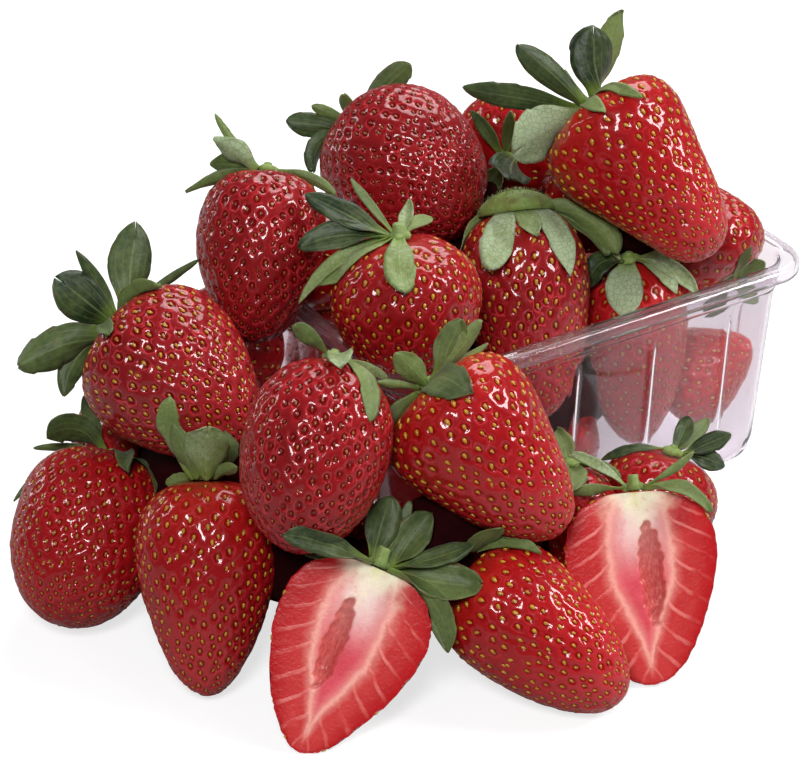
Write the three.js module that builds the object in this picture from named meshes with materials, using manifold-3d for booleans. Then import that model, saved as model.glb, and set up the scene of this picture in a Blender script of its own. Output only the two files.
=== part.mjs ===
// A clear plastic punnet, heaped over its rim with strawberries that spill
// onto the floor round its left front corner. Two of them are cut in half.
// Millimetres, +Z up. The origin is the centre of the punnet's base, on the
// floor. +X runs along the punnet's long side and +Y towards its back.
import * as THREE from "three";
import { mergeVertices } from "three/addons/utils/BufferGeometryUtils.js";
import Module from "manifold-3d";

const wasm = await Module();
wasm.setup();

// ---------------------------------------------------------------- sizes

const CLEARANCE = 0.3; // gap kept between neighbouring solids
const FLOOR_GAP = 0.3; // the punnet's base carries the part, so loose berries end this far up
const FLOOR_BLOCK = { span: 600, depth: 100 }; // what is cut off below them
const SLIVER = 0.05; // facets thinner than this are merged with their neighbours

const PUNNET = {
  length: 140, // over the flange, along X
  width: 105, // over the flange, along Y
  height: 68.4,
  sheet: 0.8, // thickness of the plastic
  cornerRadius: 14, // of the flange, seen from above
  baseRadius: 7, // of the base, seen from above
  flange: 4.6, // width of the flat rim
  lip: 3.6, // how far the rim turns down
  bend: 1.1, // bevel where the sheet turns over
  collar: 8.4, // plain band under the flange
  step: 0.6, // how far the wall steps in below the collar
  wallTop: 6.6, // inset of the wall's middle line at the ribs' top
  wallFoot: 9.4, // and at the ribs' foot
  foot: 6, // radius where the wall meets the base
  cornerSteps: 4, // facets of one rounded corner
};
const RIB = { depth: 0.9, halfWidth: 1.4, foot: 9, top: 56 };
const LONG_SIDE_RIBS = [-35, -9, 17, 43]; // X of the ribs on the front and back walls
const SHORT_SIDE_RIBS = [-26, 0, 26]; // Y of the ribs on the two end walls

const DIMPLE = { depth: 1.6, reach: 0.42 }; // hollow round the stalk; reach in radians
const CALYX_RADIUS = 2.5; // where the leaves leave the berry
const LEAF_SHEET = 0.9; // thickness of a leaf
const LARGE_LEAF = 12; // length, mm, from which a leaf has one more bend
// Along a leaf, as a share of its length, and its width there, of the widest.
const LARGE_STATIONS = [[0, 0.5], [0.4, 1], [0.75, 0.8], [1, 0]];
const SMALL_STATIONS = [[0, 0.5], [0.55, 1], [1, 0]];
const LEAF_CUP = 0.12; // how far the midrib lies below the edges, per width
const SHOWN_FACETS = { sides: 12, rings: 7 };
const HIDDEN_FACETS = { sides: 9, rings: 5 };

// A berry is [x, y, z, heading, pitch, length, width, shoulder, bluntness].
// x, y, z is the middle of its axis. Heading and pitch, in degrees, are the way
// the axis points, from the calyx to the tip: heading from +X towards +Y, pitch
// up from the floor. Shoulder moves the widest place towards the calyx, and
// bluntness fills out both ends.
//
// A leaf is [turn, lift, curl, length, width]. Turn goes round the calyx from
// the side that is uppermost. Lift raises the leaf off the berry's shoulder, and
// curl is how far it bends on the way to its tip, both in degrees and both
// positive away from the fruit.

const IN_PUNNET = {
  topRight: {
    berry: [26, -29, 96, -73, -34, 55, 42, 0.55, 0.55],
    stalk: [11, 1.3],
    leaves: [
      [55, 45, 10, 25, 7.5], [336, 50, -10, 19, 13], [315, 35, 0, 26, 9.5],
      [100, 45, -30, 33, 7.5], [115, 15, -20, 23, 15.5], [20, -2, -55, 27, 4],
      [45, -5, -36, 23, 5],
    ],
  },
  topMiddle: {
    berry: [-19, 24, 88, -83, -14, 51, 45, 0.15, 0],
    leaves: [
      [95, 25, 0, 17, 7.5], [310, 10, -20, 20, 8.5], [103, 21, -94, 22, 6],
      [65, 35, 10, 11, 3.5], [25, 20, -20, 9, 4],
    ],
  },
  leftRim: {
    berry: [-76, 9, 84, -129, -51, 48, 35, 0.25, 0.1],
    leaves: [
      [75, 35, 20, 18, 2.5], [65, 30, 0, 14, 7], [92, 10, 0, 13, 7.5],
      [85, -10, -30, 20, 4], [260, 0, -30, 17, 3], [250, -5, -40, 11, 3.5],
    ],
  },
  frontRim: {
    berry: [-53, -28.5, 78, -103, -75, 41, 40, 0.2, 0],
    stalk: [3, 1.8],
    leaves: [
      [315, 30, -10, 24, 8], [302, 15, -20, 24, 8.5], [292, -5, -40, 30, 4],
      [285, -15, -30, 22, 10], [216, -14, -20, 21, 8.6], [45, 25, 0, 13, 4],
      [65, 20, -30, 13, 4.5], [350, 40, 0, 19, 3],
    ],
  },
  trayMiddle: {
    berry: [-9, -22, 61, -111, -57, 60, 36, 0.3, 0.1],
    leaves: [
      [33, -24, -36, 28, 9.5], [1, -26, -4, 20, 6.5], [334, -13, -82, 29, 8.5],
      [281, 0, -50, 31, 8], [276, -10, -60, 31, 3.5], [107, 0, -90, 20, 4],
      [282, -7, -63, 27, 7],
    ],
  },
  trayRight: {
    berry: [23, -29, 42, -66, -85, 59, 31, 0.3, 0.1],
    leaves: [
      [225, -5, -80, 17, 10.5], [150, 0, -70, 15, 5], [140, 0, -60, 20, 5],
      [125, 10, -20, 14, 3.5], [266, 55, -166, 17, 8],
    ],
  },
  behindRight: {
    berry: [48, -25, 70, 99, 39, 33, 34, 0.3, 0.1],
    leaves: [
      [350, -15, 20, 17, 3], [30, 5, 0, 9, 6], [120, 30, 0, 12, 4.5],
      [180, 20, -40, 14, 5],
    ],
  },
  trayCorner: {
    berry: [49, -30, 29, -45, 40, 32, 29, 0.5, 0.1],
    leaves: [],
  },
  backRim: {
    berry: [26, 38, 81, 48, -2, 34, 33, 0.3, 0.1],
    leaves: [
      [335, 10, 10, 17, 4], [58, 87, -9, 19, 13], [210, 30, -30, 9, 7],
      [10, 20, 0, 16, 4],
    ],
  },
};

// These lie under the others in the punnet and show only through its walls.
const PUNNET_FILL = [
  [-38, -23, 17, 22, -12, 40, 34],
  [-43, 19, 18, 99, 3, 42, 35],
  [-2, 21, 18, 10, -1, 42, 34],
  [0, -17, 16, 167, -2, 34, 30],
  [42, 20, 18, 70, 2, 42, 34],
  [17, -1, 39, -152, 23, 36, 32],
  [-39, 28, 50, 157, 7, 42, 34],
  [1, 25, 54, 76, 12, 40, 33],
  [37, 28, 48, 29, -11, 38, 33],
  [-20, -2, 39, 15, -4, 38, 32],
  [-45, -26, 48, -120, 40, 40, 34],
  [-45, 12, 42, 90, 0, 40, 33],
  [-43, 28, 34, 90, 0, 30, 29],
  [30, 4, 75, 60, 10, 32, 28],
  [-48, 14, 72, 0, -15, 38, 28],
];

const SPILLED = {
  frontMiddle: {
    berry: [-57, -76, 58, -65, -36, 52, 42, 0.48, 0.35],
    leaves: [
      [40, 45, 20, 12, 7], [32, -11, -24, 24, 11], [315, 20, 0, 16, 8.5],
      [308, 0, 10, 19, 5.5], [288, -15, 10, 19, 3], [135, 5, -60, 16, 7],
      [80, 30, 0, 14, 2.5],
    ],
  },
  frontLeft: {
    berry: [-101, -61, 66, -139, -49, 51, 38, 0.1, 0],
    leaves: [
      [32, 20, -10, 13, 4.5], [337, 12, -70, 16, 7], [303, -13, -61, 24, 6.3],
      [230, 0, -20, 13, 2.5],
    ],
  },
  outerLeft: {
    berry: [-111, -8, 64, -69, -26, 49, 44, 0.3, 0.1],
    leaves: [
      [112, 25, -20, 25, 11], [128, 15, -40, 22, 7.5],
      [52, 40, 10, 19, 12.5], [15, 45, 10, 20, 4], [315, 35, 0, 24, 12.5],
      [355, -9, -22, 19, 9], [51, -6, -39, 22, 5], [295, 0, -20, 25, 2.5],
    ],
  },
  farLeft: {
    berry: [-139, -4, 22, -140, -34, 50, 41, 0.12, 0.15],
    leaves: [
      [52, 40, -90, 19, 8.5], [85, 5, -40, 19, 2.5], [67, 50, 0, 16, 5],
      [330, -10, -43, 22, 6], [293, -5, -54, 21, 4.5], [95, -10, -60, 28, 3.5],
    ],
  },
  floorLeft: {
    berry: [-125, -46, 26, -122, -57, 57, 37, 0.38, 0.12],
    leaves: [
      [80, 45, 60, 22, 6.5], [359, 59, -31, 19, 12], [270, 50, 50, 12, 7],
      [45, 45, 40, 15, 6], [315, 20, 0, 9, 4], [110, -10, 0, 9, 4],
    ],
  },
  floorFront: {
    berry: [-58, -101, 18, -62, -26, 53, 35, 0.3, 0.25],
    leaves: [
      [353, 7, -84, 26, 4], [2, 9, -35, 19, 7], [330, 50, 0, 12, 6],
    ],
  },
  floorRight: {
    berry: [-2, -73, 19, -161, -62, 38, 33, 0.3, 0.1],
    leaves: [
      [165, 45, 10, 11, 5], [230, 35, 0, 14, 6], [235, 15, -30, 12, 6.5],
      [35, -5, -30, 18, 3], [167, 9, 34, 20, 4.5],
    ],
  },
  floorShade: {
    berry: [-31, -73, 23, -136, -70, 41, 27, 0.3, 0.1],
    leaves: [
      [20, 26, -11, 13, 6], [215, 11, -35, 17, 7.5], [145, 10, -60, 11, 4],
    ],
  },
};

// These prop the spilled berries up and show only in the gaps between them.
const SPILL_FILL = [
  [-94, -50, 35, -170, -67, 27, 29],
  [-114, 21, 33, -17, -40, 26, 30],
  [-92, 14, 17, 131, -18, 42, 36],
  [-90, -26, 17, -153, -12, 40, 36],
  [-78, 50, 17, 83, 0, 42, 34],
  [-68, -58, 16, -56, -5, 38, 34],
  [-85, 22, 50, -159, 2, 40, 34],
];
const FILL_SHAPE = [0.3, 0.1]; // their shoulder and bluntness

// The halves lie on their round backs, with the cut face to the front left.
// The face looks along heading and pitch, and the pocket is the hollow heart.
const CUT_FACE = { heading: -122, pitch: 31 };
const HALVES = {
  half_left: {
    berry: [-109, -85, 21, -162, -52, 52, 39, 0.4, 0.1],
    pocket: { along: 3, across: -2, length: 29, width: 5, depth: 3 },
    stalk: [4, 1.6],
    leaves: [
      [17, 4, -8, 28, 7.4], [35, -15, -20, 16, 2.5], [110, 70, 10, 16, 9],
      [200, 65, 0, 17, 9.5], [230, 30, 20, 21, 6], [235, 5, 10, 23, 11],
      [237, 2, -64, 27, 8], [160, 65, 10, 17, 3.5],
    ],
  },
  half_right: {
    berry: [-27, -103, 23, -112, -58, 52, 40, 0.35, 0.15],
    pocket: { along: -2, across: 2, length: 30, width: 4.5, depth: 3 },
    stalk: [3, 1.4],
    leaves: [
      [100, 0, 10, 16, 3.5], [290, 5, -60, 19, 6], [285, 15, 30, 15, 2.5],
      [139, 43, -24, 19, 3.2],
    ],
  },
};

// Solid middles that tie each heap together behind the berries that show.
const PUNNET_CORES = [
  { at: [-4, 1, 34], half: [46, 34, 30] },
  { at: [30, -16, 76], half: [13, 16, 14] },
  { at: [28, 32, 62], half: [10, 10, 12] },
  { at: [-18, 16, 66], half: [18, 16, 12] },
];
const SPILL_CORES = [
  { at: [-98, -20, 30], half: [26, 50, 24] },
  { at: [-66, -72, 28], half: [32, 17, 22] },
  { at: [-18, -74, 16], half: [22, 14, 14] },
  { at: [-88, 34, 26], half: [14, 22, 16] },
  { at: [-93, -53, 47], half: [9, 8, 10] },
];

// ---------------------------------------------------------------- solids

const degrees = THREE.MathUtils.degToRad;

// A manifold from a closed geometry, with its shared vertices merged.
function solid(geometry) {
  const bare = geometry.clone();
  bare.deleteAttribute("normal");
  bare.deleteAttribute("uv");
  const merged = mergeVertices(bare, 1e-4);
  return new wasm.Manifold(new wasm.Mesh({
    numProp: 3,
    vertProperties: new Float32Array(merged.attributes.position.array),
    triVerts: new Uint32Array(merged.index.array),
  }));
}

const joined = (solids) => solids.reduce((whole, piece) => whole.add(piece));

// The largest piece, with sealed hollows filled, loose scraps dropped and slivers merged.
function largest(whole) {
  const pieces = whole.decompose();
  const main = pieces.reduce((best, piece) => (piece.volume() > best.volume() ? piece : best));
  return main.asOriginal().simplify(SLIVER);
}

function closedGeometry(points, triangles) {
  const geometry = new THREE.BufferGeometry();
  geometry.setAttribute("position", new THREE.Float32BufferAttribute(points.flat(), 3));
  geometry.setIndex(triangles);
  return geometry;
}

// A closed skin over rings of equal length, with a pole at each end.
function skin(firstPole, rings, lastPole) {
  const sides = rings[0].length;
  const points = [firstPole, ...rings.flat(), lastPole];
  const last = points.length - 1;
  const triangles = [];
  for (let side = 0; side < sides; side += 1) {
    const next = (side + 1) % sides;
    triangles.push(0, 1 + next, 1 + side);
    for (let ring = 1; ring < rings.length; ring += 1) {
      const near = 1 + (ring - 1) * sides;
      const far = near + sides;
      triangles.push(near + side, near + next, far + next);
      triangles.push(near + side, far + next, far + side);
    }
    const end = 1 + (rings.length - 1) * sides;
    triangles.push(end + side, end + next, last);
  }
  return closedGeometry(points, triangles);
}

// ---------------------------------------------------------------- the punnet

// The sheet's middle line from the lip's edge to the base: [inset, height].
function punnetSection() {
  const { height, sheet, flange, lip, bend, collar, step, wallTop, wallFoot, foot } = PUNNET;
  const half = sheet / 2;
  const rim = height - half;
  const collarInset = flange + bend;
  const baseInset = wallFoot + foot / 10;
  const section = [
    [half, height - lip],
    [half, rim - bend],
    [half + bend, rim],
    [flange, rim],
    [collarInset, rim - bend],
    [collarInset, rim - collar],
    [collarInset + step, rim - collar - bend],
    [wallTop, RIB.top],
    [wallFoot, RIB.foot],
  ];
  for (let turn = 0; turn <= 90; turn += 45) {
    const angle = degrees(turn);
    section.push([
      baseInset + foot * (1 - Math.cos(angle)),
      half + foot * (1 - Math.sin(angle)),
    ]);
  }
  return section;
}

// The section moved sideways, off its middle line, by a signed distance.
function offsetSection(section, distance) {
  return section.map(([inset, height], place) => {
    const before = section[Math.max(place - 1, 0)];
    const after = section[Math.min(place + 1, section.length - 1)];
    const along = new THREE.Vector2(after[0] - before[0], after[1] - before[1]).normalize();
    return [inset + along.y * distance, height - along.x * distance];
  });
}

// The sheet's outline seen from above, a rectangle with rounded corners.
function punnetRing([inset, height]) {
  const { length, width, cornerRadius, baseRadius, wallFoot, cornerSteps } = PUNNET;
  const share = Math.min(inset / wallFoot, 1);
  const radius = THREE.MathUtils.lerp(cornerRadius, baseRadius, share);
  const ring = [];
  [[1, -1], [1, 1], [-1, 1], [-1, -1]].forEach(([alongX, alongY], corner) => {
    for (let facet = 0; facet <= cornerSteps; facet += 1) {
      const angle = degrees(90 * (corner - 1 + facet / cornerSteps));
      ring.push([
        alongX * (length / 2 - inset - radius) + radius * Math.cos(angle),
        alongY * (width / 2 - inset - radius) + radius * Math.sin(angle),
        height,
      ]);
    }
  });
  return ring;
}

// A ridge pressed outwards up one wall, at a place along that wall.
function rib(turn, halfSpan, place, margin) {
  const { sheet, wallTop, wallFoot } = PUNNET;
  const depth = sheet / 2 + RIB.depth + margin;
  const width = RIB.halfWidth + margin;
  const foot = [place, wallFoot - halfSpan, RIB.foot - margin];
  const top = [place, wallTop - halfSpan, RIB.top + margin];
  const section = ([x, y, z]) => [
    [x - width, y, z], [x, y - depth, z], [x + width, y, z], [x, y + sheet / 4, z],
  ];
  return solid(skin(foot, [section(foot), section(top)], top).rotateZ(degrees(turn)));
}

// The punnet's shell, or the same shell grown on both faces by a margin.
function punnetShell(margin) {
  const middle = punnetSection();
  const reach = PUNNET.sheet / 2 + margin;
  const outside = offsetSection(middle, reach);
  const inside = offsetSection(middle, -reach);
  outside[0][1] -= margin;
  inside[0][1] -= margin;
  const rings = [...outside.reverse(), ...inside].map(punnetRing);
  const shell = solid(skin([0, 0, -margin], rings, [0, 0, PUNNET.sheet + margin]));
  const walls = [
    [0, PUNNET.width / 2, LONG_SIDE_RIBS],
    [90, PUNNET.length / 2, SHORT_SIDE_RIBS],
    [180, PUNNET.width / 2, LONG_SIDE_RIBS.map((x) => -x)],
    [270, PUNNET.length / 2, SHORT_SIDE_RIBS],
  ];
  const ribs = walls.flatMap(([turn, halfSpan, places]) => (
    places.map((place) => rib(turn, halfSpan, place, margin))
  ));
  return joined([shell, ...ribs]);
}

// ---------------------------------------------------------------- berries

// The berry's place and its own directions: axis, up, and side.
function berryFrame(berry) {
  const [x, y, z, heading, pitch, length] = berry;
  const axis = new THREE.Vector3(
    Math.cos(degrees(heading)) * Math.cos(degrees(pitch)),
    Math.sin(degrees(heading)) * Math.cos(degrees(pitch)),
    Math.sin(degrees(pitch)),
  );
  const steep = Math.abs(axis.z) >= 0.9;
  const up = steep ? new THREE.Vector3(0, 1, 0) : new THREE.Vector3(0, 0, 1);
  up.addScaledVector(axis, -up.dot(axis)).normalize();
  const side = new THREE.Vector3().crossVectors(axis, up);
  const calyx = new THREE.Vector3(x, y, z).addScaledVector(axis, -length / 2);
  return { axis, up, side, calyx };
}

// The radius at an angle from the calyx pole, as a share of the greatest.
function profile(angle, shoulder, bluntness) {
  const outline = (at) => {
    const lean = Math.cos(at);
    return Math.sin(at) * (1 + shoulder * lean + bluntness * lean * lean);
  };
  let widest = 0;
  for (let at = 0.02; at < Math.PI; at += 0.02) widest = Math.max(widest, outline(at));
  return outline(angle) / widest;
}

function berryBody(berry, facets, grow = 0) {
  const [, , , , , length, width, shoulder, bluntness] = berry;
  const { axis, up, side, calyx } = berryFrame(berry);
  const at = (along, radius, turn) => calyx.clone()
    .addScaledVector(axis, along)
    .addScaledVector(up, radius * Math.cos(turn))
    .addScaledVector(side, radius * Math.sin(turn))
    .toArray();
  const rings = [];
  for (let ring = 1; ring <= facets.rings; ring += 1) {
    const angle = (Math.PI * ring) / (facets.rings + 1);
    const dip = DIMPLE.depth * Math.exp(-((angle / DIMPLE.reach) ** 2));
    const along = (length * (1 - Math.cos(angle))) / 2 + dip - grow * Math.cos(angle);
    const radius = (width / 2) * profile(angle, shoulder, bluntness) + grow;
    rings.push(Array.from({ length: facets.sides }, (_, place) => (
      at(along, radius, (2 * Math.PI * place) / facets.sides)
    )));
  }
  return solid(skin(at(DIMPLE.depth - grow, 0, 0), rings, at(length + grow, 0, 0)));
}

// A thin, cupped leaf on a circular arc that leaves the rim of the calyx.
function leafBlade(berry, [turn, lift, curl, length, width], grow) {
  const { axis, up, side, calyx } = berryFrame(berry);
  const thickness = LEAF_SHEET + 2 * grow;
  const out = up.clone().multiplyScalar(Math.cos(degrees(turn)))
    .addScaledVector(side, Math.sin(degrees(turn)));
  const across = new THREE.Vector3().crossVectors(out, axis);
  const middle = calyx.clone().addScaledVector(out, CALYX_RADIUS);
  const upper = [];
  const lower = [];
  const stations = length < LARGE_LEAF ? SMALL_STATIONS : LARGE_STATIONS;
  stations.forEach(([station, share], place) => {
    if (place > 0) {
      const stride = station - stations[place - 1][0];
      const slope = degrees(lift + curl * (station - stride / 2));
      middle.addScaledVector(out, stride * length * Math.cos(slope));
      middle.addScaledVector(axis, -stride * length * Math.sin(slope));
    }
    const slope = degrees(lift + curl * station);
    const normal = out.clone().multiplyScalar(-Math.sin(slope))
      .addScaledVector(axis, -Math.cos(slope));
    const half = (width / 2 + grow) * share;
    const wave = (place % 2 ? 1 : -1) * LEAF_CUP * half;
    const offsets = half > 0 ? [[-half, wave], [0, -LEAF_CUP * width], [half, -wave]] : [[0, 0]];
    for (const [sideways, raised] of offsets) {
      const point = middle.clone().addScaledVector(across, sideways)
        .addScaledVector(normal, raised);
      upper.push(point.clone().addScaledVector(normal, thickness / 2).toArray());
      lower.push(point.addScaledVector(normal, -thickness / 2).toArray());
    }
  });
  return solid(sheetBetween(upper, lower));
}

// Closes two like faces, each of rows of three points and a last point.
function sheetBetween(upper, lower) {
  const tip = upper.length - 1;
  const face = [];
  for (let row = 0; row + 3 < tip; row += 3) {
    for (const step of [0, 1]) {
      face.push([row + step, row + step + 4, row + step + 1]);
      face.push([row + step, row + step + 3, row + step + 4]);
    }
  }
  face.push([tip - 3, tip, tip - 2], [tip - 2, tip, tip - 1]);
  const under = upper.length;
  const triangles = face.flatMap(([a, b, c]) => [a, b, c, under + a, under + c, under + b]);
  const border = [0, 1];
  for (let point = 2; point < tip; point += 3) border.push(point);
  border.push(tip);
  for (let point = tip - 3; point > 0; point -= 3) border.push(point);
  border.forEach((point, place) => {
    const next = border[(place + 1) % border.length];
    triangles.push(point, under + next, under + point, point, next, under + next);
  });
  return closedGeometry([...upper, ...lower], triangles);
}

function stalkStub(berry, [length, radius], grow) {
  const { axis, calyx } = berryFrame(berry);
  const reach = length + DIMPLE.depth * 2 + grow;
  const stub = new THREE.CylinderGeometry(radius + grow, radius * 1.2 + grow, reach, 7);
  const turn = new THREE.Quaternion()
    .setFromUnitVectors(new THREE.Vector3(0, 1, 0), axis.clone().negate());
  const middle = calyx.clone().addScaledVector(axis, DIMPLE.depth - length / 2);
  stub.applyQuaternion(turn).translate(...middle);
  return solid(stub);
}

function dressing({ berry, leaves, stalk }, grow = 0) {
  const blades = leaves.map((leaf) => leafBlade(berry, leaf, grow));
  return stalk ? [...blades, stalkStub(berry, stalk, grow)] : blades;
}

function core({ at, half }, grow) {
  const reach = half.map((size) => size + grow);
  return solid(new THREE.SphereGeometry(1, 10, 7).scale(...reach).translate(...at));
}

// ---------------------------------------------------------------- heaps

const filled = (row) => [...row, ...FILL_SHAPE];

function heap(shown, fill, cores, grow = 0) {
  const berries = Object.values(shown);
  return joined([
    ...berries.map(({ berry }) => berryBody(berry, SHOWN_FACETS, grow)),
    ...fill.map((row) => berryBody(filled(row), HIDDEN_FACETS, grow)),
    ...cores.map((piece) => core(piece, grow)),
    ...berries.flatMap((piece) => dressing(piece, grow)),
  ]);
}

// A berry cut through its axis, keeping the side away from the face.
function halfBerry({ berry, pocket, leaves, stalk }) {
  const { axis, calyx } = berryFrame(berry);
  const [, , , , , length, width] = berry;
  const face = new THREE.Vector3(
    Math.cos(degrees(CUT_FACE.heading)) * Math.cos(degrees(CUT_FACE.pitch)),
    Math.sin(degrees(CUT_FACE.heading)) * Math.cos(degrees(CUT_FACE.pitch)),
    Math.sin(degrees(CUT_FACE.pitch)),
  );
  face.addScaledVector(axis, -face.dot(axis)).normalize();
  const across = new THREE.Vector3().crossVectors(axis, face);
  const turned = new THREE.Matrix4().makeBasis(across, axis, face);
  const middle = calyx.clone().addScaledVector(axis, length / 2);
  const knife = new THREE.BoxGeometry(2 * width, 2 * length, width).translate(0, 0, width / 2);
  knife.applyMatrix4(turned).translate(...middle);
  const heart = new THREE.SphereGeometry(1, 10, 7)
    .scale(pocket.width / 2, pocket.length / 2, pocket.depth)
    .translate(pocket.across, pocket.along, 0);
  heart.applyMatrix4(turned).translate(...middle);
  const flesh = berryBody(berry, SHOWN_FACETS).subtract(solid(knife)).subtract(solid(heart));
  return joined([flesh, ...dressing({ berry, leaves, stalk })]);
}

function belowFloor() {
  const { span, depth } = FLOOR_BLOCK;
  return solid(new THREE.BoxGeometry(span, span, depth).translate(0, 0, FLOOR_GAP - depth / 2));
}

// ---------------------------------------------------------------- the model

const finishes = {
  punnet: { color: 0xe6e0ec, roughness: 0.08, metalness: 0, transparent: true, opacity: 0.35 },
  berries: { color: 0xb0151a, roughness: 0.35, metalness: 0 },
  halves: { color: 0xd9454a, roughness: 0.45, metalness: 0 },
};

function namedMesh(name, whole, finish) {
  const { vertProperties, triVerts } = whole.getMesh();
  const geometry = new THREE.BufferGeometry();
  geometry.setAttribute("position", new THREE.Float32BufferAttribute(vertProperties, 3));
  geometry.setIndex(new THREE.Uint32BufferAttribute(triVerts, 1));
  geometry.computeVertexNormals();
  const mesh = new THREE.Mesh(geometry, new THREE.MeshStandardMaterial(finish));
  mesh.name = name;
  return mesh;
}

const sleeve = punnetShell(CLEARANCE);
const floor = belowFloor();
const inPunnet = heap(IN_PUNNET, PUNNET_FILL, PUNNET_CORES);
const roomForContents = heap(IN_PUNNET, PUNNET_FILL, PUNNET_CORES, CLEARANCE);
const spilled = heap(SPILLED, SPILL_FILL, SPILL_CORES);
const roomForSpill = heap(SPILLED, SPILL_FILL, SPILL_CORES, CLEARANCE);

const model = new THREE.Group();
model.add(namedMesh("punnet", punnetShell(0), finishes.punnet));
model.add(namedMesh("berries_in_punnet", largest(inPunnet.subtract(sleeve)), finishes.berries));
const loose = spilled.subtract(sleeve).subtract(roomForContents).subtract(floor);
model.add(namedMesh("berries_spilled", largest(loose), finishes.berries));
const taken = joined([roomForSpill, sleeve, floor]);
for (const [name, half] of Object.entries(HALVES)) {
  const cut = largest(halfBerry(half).subtract(taken));
  model.add(namedMesh(name, cut, finishes.halves));
}

export default model;
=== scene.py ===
# %% [markdown]
# # A punnet heaped with strawberries
#
# The object is a clear plastic tray with a heap of strawberries in it and
# spilling round one corner, two of them cut in half. The plain solids come
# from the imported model. This lesson dresses them: skins with a seed in every
# pit, thin leaves, wet cut flesh and a clear ribbed shell.
#
# Everything is worked out from a few sizes for each berry, so the same
# functions make them all and no two come out alike.

# %% Load the frame
import math

import bmesh
import bpy
import numpy as np
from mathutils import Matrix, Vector
from mathutils.geometry import delaunay_2d_cdt


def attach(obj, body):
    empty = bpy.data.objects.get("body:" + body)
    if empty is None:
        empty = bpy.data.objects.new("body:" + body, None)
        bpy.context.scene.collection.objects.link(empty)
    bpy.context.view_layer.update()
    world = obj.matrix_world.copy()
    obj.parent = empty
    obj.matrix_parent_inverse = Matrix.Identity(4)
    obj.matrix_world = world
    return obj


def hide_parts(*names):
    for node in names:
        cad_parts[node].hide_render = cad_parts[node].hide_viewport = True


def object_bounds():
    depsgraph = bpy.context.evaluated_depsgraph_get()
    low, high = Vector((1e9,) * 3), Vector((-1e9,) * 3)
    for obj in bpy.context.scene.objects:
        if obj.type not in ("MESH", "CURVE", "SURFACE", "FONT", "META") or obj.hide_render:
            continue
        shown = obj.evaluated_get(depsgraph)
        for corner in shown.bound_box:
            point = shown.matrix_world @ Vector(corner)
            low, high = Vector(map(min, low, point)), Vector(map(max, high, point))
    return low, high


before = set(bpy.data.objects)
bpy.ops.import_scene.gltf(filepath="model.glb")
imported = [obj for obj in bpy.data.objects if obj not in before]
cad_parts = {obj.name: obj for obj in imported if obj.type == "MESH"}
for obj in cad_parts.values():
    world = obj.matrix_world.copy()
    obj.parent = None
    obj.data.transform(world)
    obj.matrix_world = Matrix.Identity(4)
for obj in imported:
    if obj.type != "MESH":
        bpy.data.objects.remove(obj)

MM = 0.001
CAD_LOW, CAD_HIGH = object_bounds()
print("the solids reach from", [round(v / MM, 1) for v in CAD_LOW], "to",
      [round(v / MM, 1) for v in CAD_HIGH], "mm")

# %% [markdown]
# ## The camera
#
# A long lens from the front left, a little above, sees the two cut faces, the
# heap and the right end of the tray at once. The camera could be placed by
# hand, but giving it a target, two angles and a distance keeps the view easy
# to state and to change.

# %% Place the camera
TARGET = Vector((-27.69, 12.15, 27.30)) * MM
AZIMUTH = math.radians(-32.36)
ELEVATION = math.radians(30.63)
DISTANCE = 0.8  # m
LENS = 122.6  # focal length, mm

view_from = Vector((
    math.sin(AZIMUTH) * math.cos(ELEVATION),
    -math.cos(AZIMUTH) * math.cos(ELEVATION),
    math.sin(ELEVATION),
))
camera = bpy.data.objects.new("camera", bpy.data.cameras.new("camera"))
camera.location = TARGET + view_from * DISTANCE
camera.rotation_euler = view_from.to_track_quat("Z", "Y").to_euler()
camera.data.lens = LENS
camera.data.clip_start = 0.01
bpy.context.collection.objects.link(camera)
bpy.context.scene.camera = camera
print("camera at", [round(v / MM) for v in camera.location], "mm")

# %% [markdown]
# ## Floor and light
#
# Wet fruit is read by its highlights. A broad soft box above gives the long
# sheen, a smaller one in front the bright arc in every pit, and a lamp on each
# side rounds the berries off. A white floor and sky fill the shadows with
# clean light. An image of a studio would do the same, but four lamps are
# easier to move and to understand.

# %% The floor
FLOOR_SPAN = 6.0  # m
FLOOR_DROP = 0.0002  # the floor lies this far under the tray, m
FLOOR_WHITE = (0.4, 0.4, 0.4, 1)
FLOOR_GLOW = 0.72  # what the camera sees besides the light that falls on the floor
SKY_WHITE = (1, 1, 1, 1)


def material(name):
    made = bpy.data.materials.new(name)
    made.use_nodes = True
    return made


def shader_of(made, **sockets):
    """The material's shader, with values set straight on its own sockets."""
    shader = made.node_tree.nodes["Principled BSDF"]
    for name, value in sockets.items():
        shader.inputs[name.replace("_", " ")].default_value = value
    return shader


def seen_by_camera(tree, strength, otherwise):
    """The strength for camera rays and for rays through glass, else the other."""
    path = tree.nodes.new("ShaderNodeLightPath")
    either = tree.nodes.new("ShaderNodeMath")
    either.operation = "MAXIMUM"
    tree.links.new(path.outputs["Is Camera Ray"], either.inputs[0])
    tree.links.new(path.outputs["Is Transmission Ray"], either.inputs[1])
    reach = tree.nodes.new("ShaderNodeMapRange")
    reach.inputs["To Min"].default_value = otherwise
    reach.inputs["To Max"].default_value = strength
    tree.links.new(either.outputs[0], reach.inputs["Value"])
    return reach.outputs["Result"]


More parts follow.
